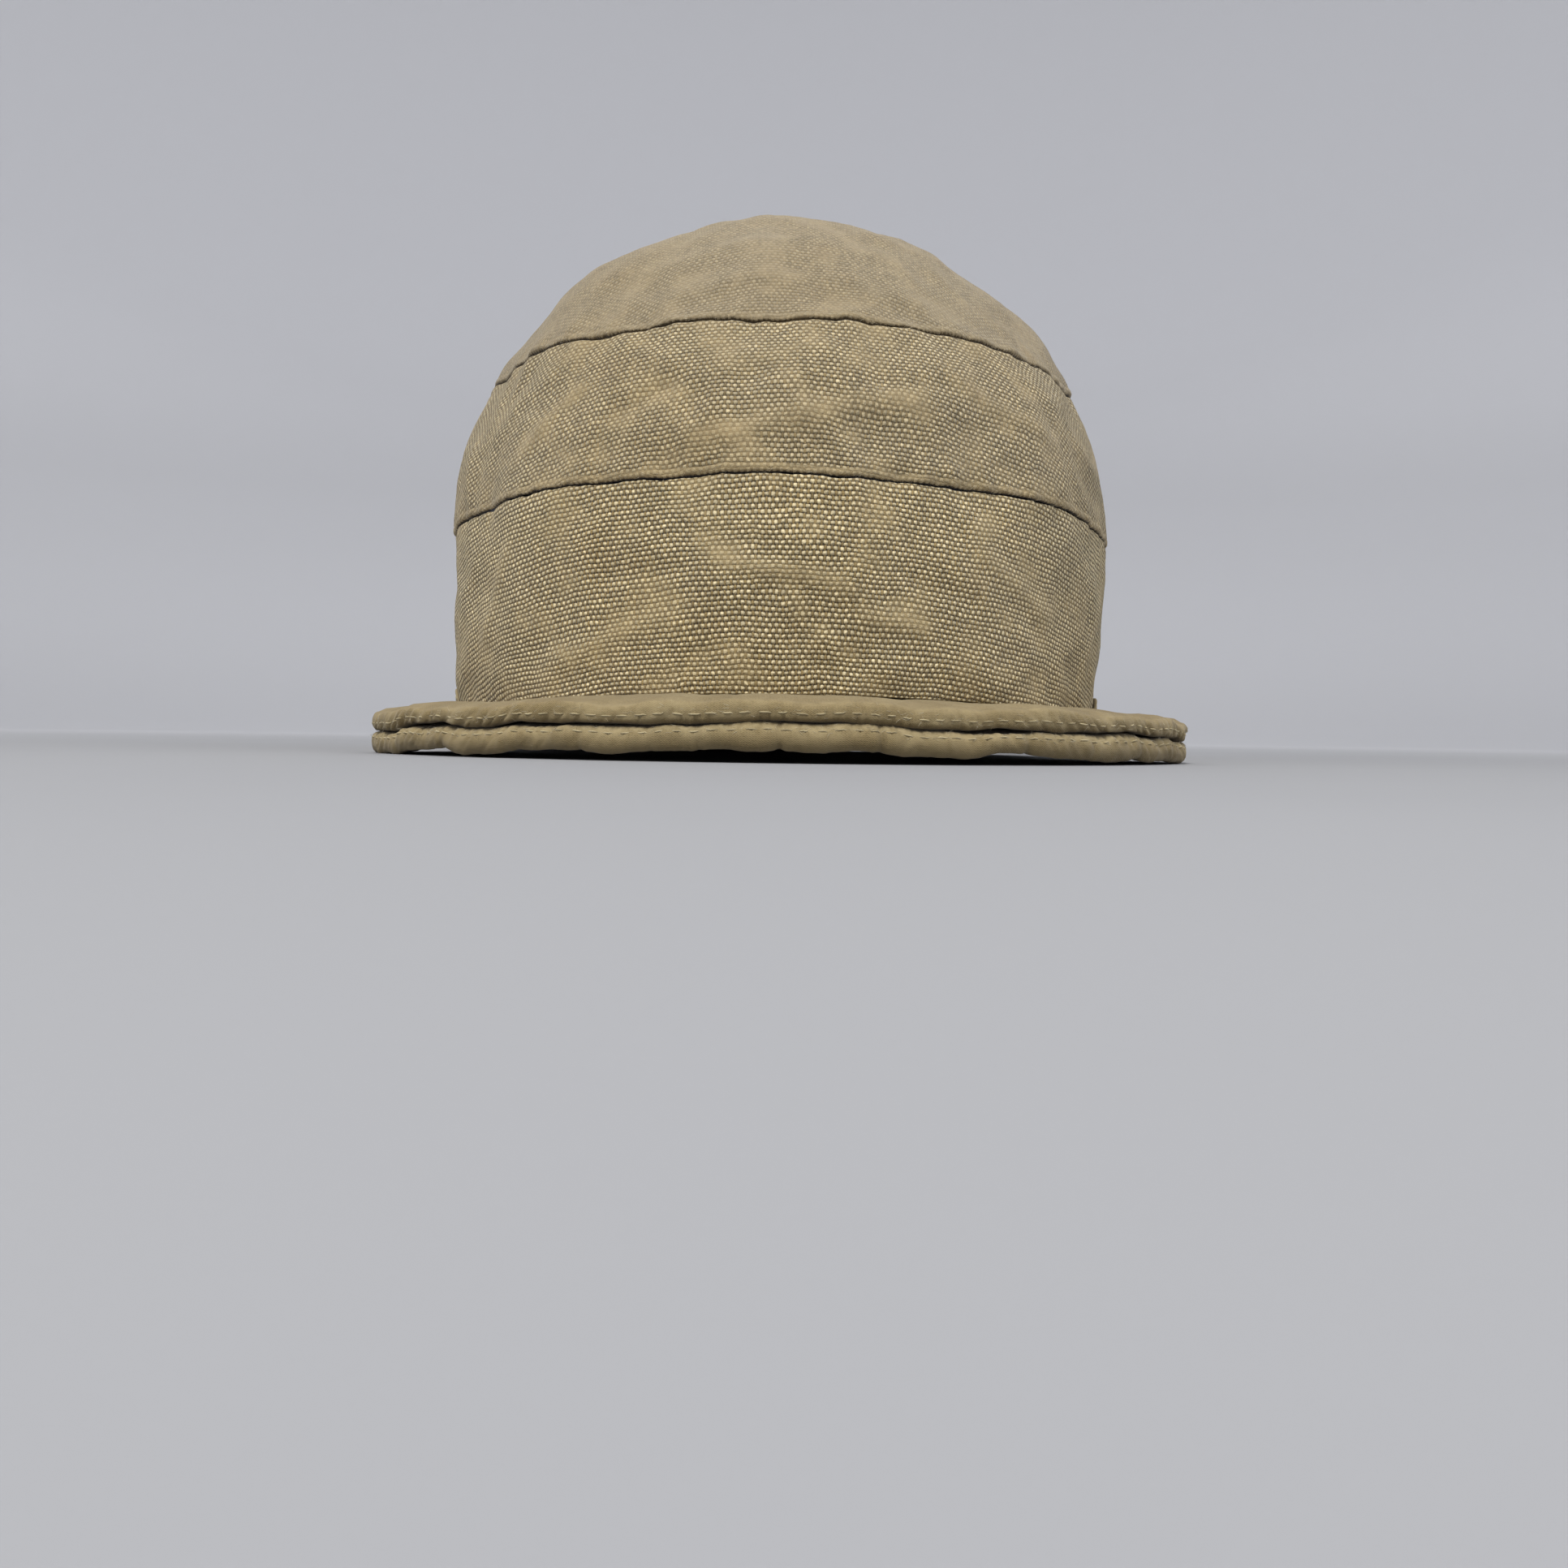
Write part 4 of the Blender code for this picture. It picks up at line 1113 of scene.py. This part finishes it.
def make_canvas(name, look):
    """Coarse plain weave: pale weft grains over darker warp, rubbed smooth in patches."""
    cloth = Cloth(name)
    places = cloth.places()
    moved = cloth.stray(places, 0.045, (1.6, 3.0, 0.0), places)
    moved = cloth.stray(places, 0.55, (0.55, 0.60, 0.0), moved)
    warp = cloth.take("X", "SeparateXYZ", {0: moved}) / WARP_PITCH
    weft = cloth.take("Y", "SeparateXYZ", {0: moved}) / WEFT_PITCH
    weft_height = thread_height(cloth, warp, weft, 0.56, 0.92, 4.9)
    warp_height = thread_height(cloth, weft, warp, -0.42, 0.50, 2.8)
    height = cloth.math("MAXIMUM", weft_height, warp_height)
    pale = cloth.ramp(weft_height - warp_height, 0.16, 0.80)

    # Each grain and each stretch of yarn has its own tone
    cell = {0: cloth.math("FLOOR", warp), 1: cloth.math("FLOOR", weft)}
    cell = {"Vector": cloth.take(0, "CombineXYZ", cell)}
    each = cloth.take("Value", "TexWhiteNoise", cell, noise_dimensions="2D") * 0.42 + 0.76
    slub = cloth.spots(places, 0.9, 3.0, 0.30, 0.70, 0.80, 1.14)
    mottle = cloth.spots(places, 0.17, 3.0, 0.32, 0.68, 1.0 - look.mottling, 1.0 + look.mottling)

    # Wear hides the weave and its tones
    worn = cloth.spots(places, 0.075, 3.0, 0.46, 0.66) * 0.55 + look.smoothness
    worn = cloth.math("MAXIMUM", worn, 0.0) + cloth.attribute("wear")
    worn = cloth.math("MINIMUM", worn, MOST_COVER)
    threads = cloth.mix(pale, look.between, look.grain)
    # The weave's low places take the gap colour: painted shade between the threads
    shade = cloth.ramp(height, 0.0, 0.78)
    colour = cloth.mix(worn * (0.82 - shade) + shade, look.gap, threads)
    colour = cloth.mix(worn * 0.72, colour, look.worn)
    tint = ((each * slub - 1.0) * (1.0 - worn * 0.6) + 1.0) * mottle
    grey = cloth.take(0, "CombineColor", {0: tint, 1: tint, 2: tint})
    colour = cloth.mix(1.0, colour, grey, "MULTIPLY")

    # Broad changes of colour, soil, and the painted shade of the seams and edges, which lint
    # stands out of
    drift = cloth.spots(places, 0.018, 3.0, 0.30, 0.70)
    colour = cloth.mix(drift * 0.5, colour, (1.04, 0.99, 0.86), "MULTIPLY")
    soil = cloth.spots(places, 0.05, 4.0, 0.58, 0.76)
    colour = cloth.mix(soil * 0.22, colour, (0.78, 0.66, 0.50), "MULTIPLY")
    lint = cloth.spots(places, 2.6, 2.0, 0.36, 0.64) * 0.16
    # Painted shade of the seams' grooves and hidden sides, in the gap colour
    dirt = cloth.ramp(cloth.attribute("dirt") - (pale * 0.30 + lint), 0.05, 0.60)
    colour = cloth.mix(cloth.math("MINIMUM", dirt, MOST_COVER), colour, look.gap)

    cloth.bump(height * (1.0 - worn * 0.72) + lint, look.relief)
    return cloth.finish(colour, 0.93, 0.20)


# Looks of the twill: colours of its threads, in the gaps, where it is worn and where it is
# soiled, the last also painted shade in the slit and creases; then the threads' pitch in
# millimetres, their height and the roughness
Twill = namedtuple("Twill", "thread gap worn soil pitch relief roughness")
PEAK_TWILL = Twill(
    (0.258, 0.194, 0.090), (0.122, 0.089, 0.038), (0.362, 0.289, 0.156), (0.098, 0.072, 0.033),
    0.62, 0.10 * MM, 0.9,
)
BINDING_TWILL = Twill(
    (0.275, 0.208, 0.099), (0.134, 0.099, 0.044), (0.366, 0.294, 0.163), (0.118, 0.087, 0.041),
    0.62, 0.10 * MM, 0.9,
)
LINING_TWILL = Twill(
    (0.0150, 0.0165, 0.030), (0.006, 0.0065, 0.012), (0.030, 0.033, 0.052), (0.010, 0.010, 0.014),
    0.8, 0.06 * MM, 0.8,
)


def make_twill(name, look):
    """Finer twill: slanting threads, rubbed pale on the edges, soiled in streaks, with painted shade
    in the slit and folds.
    """
    cloth = Cloth(name)
    places = cloth.places()
    moved = cloth.stray(places, 0.4, (0.5, 0.5, 0.0), places)
    across = cloth.take("X", "SeparateXYZ", {0: moved})
    along = cloth.take("Y", "SeparateXYZ", {0: moved})
    rib = cloth.math("SINE", (along * 1.7 + across) * (2 * math.pi / look.pitch))
    thread = cloth.math("SINE", along * (2 * math.pi / (look.pitch * 0.62)))
    lint = cloth.spots(places, 2.2, 3.0, 0.30, 0.70)
    height = rib * 0.22 + (thread * 0.12 + 0.5) + lint * 0.35

    rubbed = cloth.attribute("wear") * cloth.spots(places, 0.5, 3.0, 0.25, 0.65, 0.35, 1.1)
    rubbed = rubbed + cloth.spots(places, 0.16, 4.0, 0.40, 0.75, 0.0, 0.20)
    rubbed = cloth.math("MINIMUM", rubbed, 1.0)
    colour = cloth.mix(cloth.ramp(height, 0.15, 0.95), look.gap, look.thread)
    colour = cloth.mix(rubbed, colour, look.worn)
    streaks = cloth.vector_math("MULTIPLY", places, (0.55, 0.16, 1.0))
    colour = cloth.mix(cloth.spots(streaks, 0.9, 4.0, 0.50, 0.78) * 0.18, colour, look.soil)
    drift = cloth.spots(places, 0.03, 2.0, 0.3, 0.7)
    colour = cloth.mix(drift * 0.4, colour, (1.03, 0.98, 0.88), "MULTIPLY")
    # Painted shade in the slit, creases and underside, in the soil colour
    dirt = cloth.attribute("dirt") * cloth.ramp(lint, 0.0, 1.0, 0.65, 1.0)
    colour = cloth.mix(cloth.math("MINIMUM", dirt, MOST_COVER), colour, look.soil)

    cloth.bump(height * (1.0 - rubbed * 0.65), look.relief)
    return cloth.finish(colour, look.roughness, 0.12)


def make_thread(name, dark, pale, scale):
    """Sewing thread or loose fibre, its tone changing from place to place."""
    cloth = Cloth(name)
    spot = cloth.take("Object", "TexCoord", {})
    cloth.bump(cloth.noise(spot, 4000.0, 1.0), 0.05 * MM)
    return cloth.finish(cloth.mix(cloth.spots(spot, scale, 2.0, 0.3, 0.7), dark, pale), 0.85, 0.15)


# Stage, light and camera

FLOOR_RADIUS = 1.15
WALL_CURVE = 0.65
WALL_TOP = 1.55
BACKDROP_SIDES = 96
BACKDROP_TINT = (0.992, 1.0, 1.045)

# The radii between which each tone is reached, and the tone, from the floor's edge to the
# wall, so that the backdrop looks even all over
BACKDROP_TONES = ((0.20, 1.15, 0.506), (1.30, 1.60, 0.549), (1.70, 1.80, 0.630))


def make_stage():
    """A pale round floor that curves up into a wall all round."""
    profile = [(FLOOR_RADIUS * share, 0.0) for share in (0.02, 0.3, 0.6, 1.0)]
    for turn in np.radians(np.linspace(10, 90, 9)):
        out = FLOOR_RADIUS + WALL_CURVE * math.sin(turn)
        profile.append((out, WALL_CURVE * (1.0 - math.cos(turn))))
    profile.append((FLOOR_RADIUS + WALL_CURVE, WALL_TOP))
    turn = np.radians(np.arange(BACKDROP_SIDES) * 360.0 / BACKDROP_SIDES)
    ring = np.stack((np.cos(turn), np.sin(turn), np.ones(BACKDROP_SIDES)), -1)
    vertices = [point for out, height in profile for point in (ring * (out, out, height)).tolist()]
    walls = grid_faces(len(profile), BACKDROP_SIDES)[0][:, (0, 3, 2, 1)]
    faces = [list(range(BACKDROP_SIDES))] + walls.tolist()
    cloth = Cloth("backdrop_paint")
    spot = cloth.take("Object", "TexCoord", {})
    away = cloth.vector_math("MULTIPLY", spot, (1.0, 1.0, 0.0))
    away = cloth.vector_math("LENGTH", away, output="Value")
    shade = cloth.spots(spot, 3.0, 3.0, 0.3, 0.7)
    colour = cloth.mix(shade, (0.287, 0.290, 0.304), (0.297, 0.300, 0.314))
    for low, high, tone in BACKDROP_TONES:
        wanted = [part * tone for part in BACKDROP_TINT]
        colour = cloth.mix(cloth.ramp(away, low, high), colour, wanted)
    backdrop = smooth_object("backdrop", vertices, faces, cloth.finish(colour, 0.95, 0.0))


# Large soft lamps: from above and in front, and weaker ones from the sides, top and back
Lamp = namedtuple("Lamp", "name place size power colour")
LAMPS = table(Lamp, (
    ("key_lamp", (-0.30, -0.95, 1.35), 0.50, 18.9, (1.0, 0.985, 0.96)),
    ("right_lamp", (1.15, -0.45, 0.95), 1.2, 6.6, (0.97, 0.985, 1.0)),
    ("left_lamp", (-1.15, -0.45, 0.95), 1.2, 4.3, (0.97, 0.985, 1.0)),
    ("top_lamp", (0.1, 0.25, 1.6), 1.0, 2.5, (1.0, 1.0, 1.0)),
    ("back_lamp", (0.0, 1.10, 1.10), 0.9, 4.0, (1.0, 1.0, 1.0)),
))
LAMP_TARGET = Vector((0.0, 0.0, 0.06))


def make_lights():
    """The lamps and an even room light."""
    for lamp in LAMPS:
        data = bpy.data.lights.new(lamp.name, "AREA")
        data.shape = "DISK"
        data.size = lamp.size
        data.energy = lamp.power
        data.color = lamp.colour
        item = new_object(lamp.name, data)
        item.location = lamp.place
        towards = LAMP_TARGET - Vector(lamp.place)
        item.rotation_euler = towards.to_track_quat("-Z", "Y").to_euler()
        item.visible_camera = False
    world = bpy.data.worlds.new("room")
    world.use_nodes = True
    background = world.node_tree.nodes["Background"]
    background.inputs["Color"].default_value = (0.84, 0.85, 0.88, 1.0)
    background.inputs["Strength"].default_value = 0.45
    bpy.context.scene.world = world


CAMERA_PLACE = (-0.013, -0.439, 0.0065)
CAMERA_PITCH = -1.9
CAMERA_ROLL = 0.8
CAMERA_HEADING = -1.95


def make_camera():
    """A camera in front of the peak, just above the floor."""
    data = bpy.data.cameras.new("camera")
    data.sensor_width = 36.0
    data.lens = 36.0
    data.clip_start = 0.004
    camera = new_object("camera", data)
    placed = Matrix.Translation(CAMERA_PLACE)
    for angle, axis in ((CAMERA_HEADING, "Z"), (90.0 + CAMERA_PITCH, "X"), (CAMERA_ROLL, "Z")):
        placed = placed @ Matrix.Rotation(math.radians(angle), 4, axis)
    camera.matrix_world = placed
    bpy.context.scene.camera = camera


UPPER_STITCH_ROW = 9
LOWER_STITCH_ROW = 24


def main():
    """Dress the cap and set the stage."""
    bpy.context.scene.view_settings.view_transform = "Standard"
    make_camera()
    make_lights()
    make_stage()
    lower = make_lower_band(make_canvas("canvas_lower", LOWER_CANVAS))
    upper = make_upper_band(make_canvas("canvas_upper", UPPER_CANVAS))
    top = make_top(make_canvas("canvas_top", TOP_CANVAS))
    make_lining(make_twill("lining_twill", LINING_TWILL))
    binding = make_binding(make_twill("binding_twill", BINDING_TWILL))
    peak_twill = make_twill("peak_twill", PEAK_TWILL)
    over = make_peak_upper(peak_twill)
    under = make_peak_lower(peak_twill)

    thread = make_thread("edge_thread", (0.34, 0.275, 0.152), (0.54, 0.455, 0.270), 180.0)
    for name, slot, grid, row, pitch, length, width, seed in (
        ("peak_upper_stitches", "peak_cloth", over, UPPER_STITCH_ROW, 3.9, 2.5, 0.17, 101),
        ("peak_lower_stitches", "peak_cloth", under, LOWER_STITCH_ROW, 3.9, 2.3, 0.17, 201),
        ("binding_stitches", "binding_cloth", binding, BINDING_STITCH_ROW, 3.2, 2.2, 0.20, 301),
    ):
        make_stitches(name, grid, row, pitch * MM, length * MM, width * MM, thread, seed)

    fluff = make_thread("loose_fibre", (0.34, 0.28, 0.17), (0.66, 0.60, 0.45), 300.0)
    make_fibres("peak_fibres", table(Stretch, (
        (over, 6, 14, 360, 1.3 * MM, 0.20 * MM, 401),
        (under, 22, 29, 420, 1.4 * MM, 0.20 * MM, 402),
    )), fluff)
    make_fibres("crown_fibres", table(Stretch, (
        (lower, 40, 50, 300, 1.0 * MM, 0.20 * MM, 403),
        (upper, 3, 9, 480, 1.0 * MM, 0.25 * MM, 404),
        (top, 12, 18, 480, 1.0 * MM, 0.25 * MM, 405),
    )), fluff)


main()
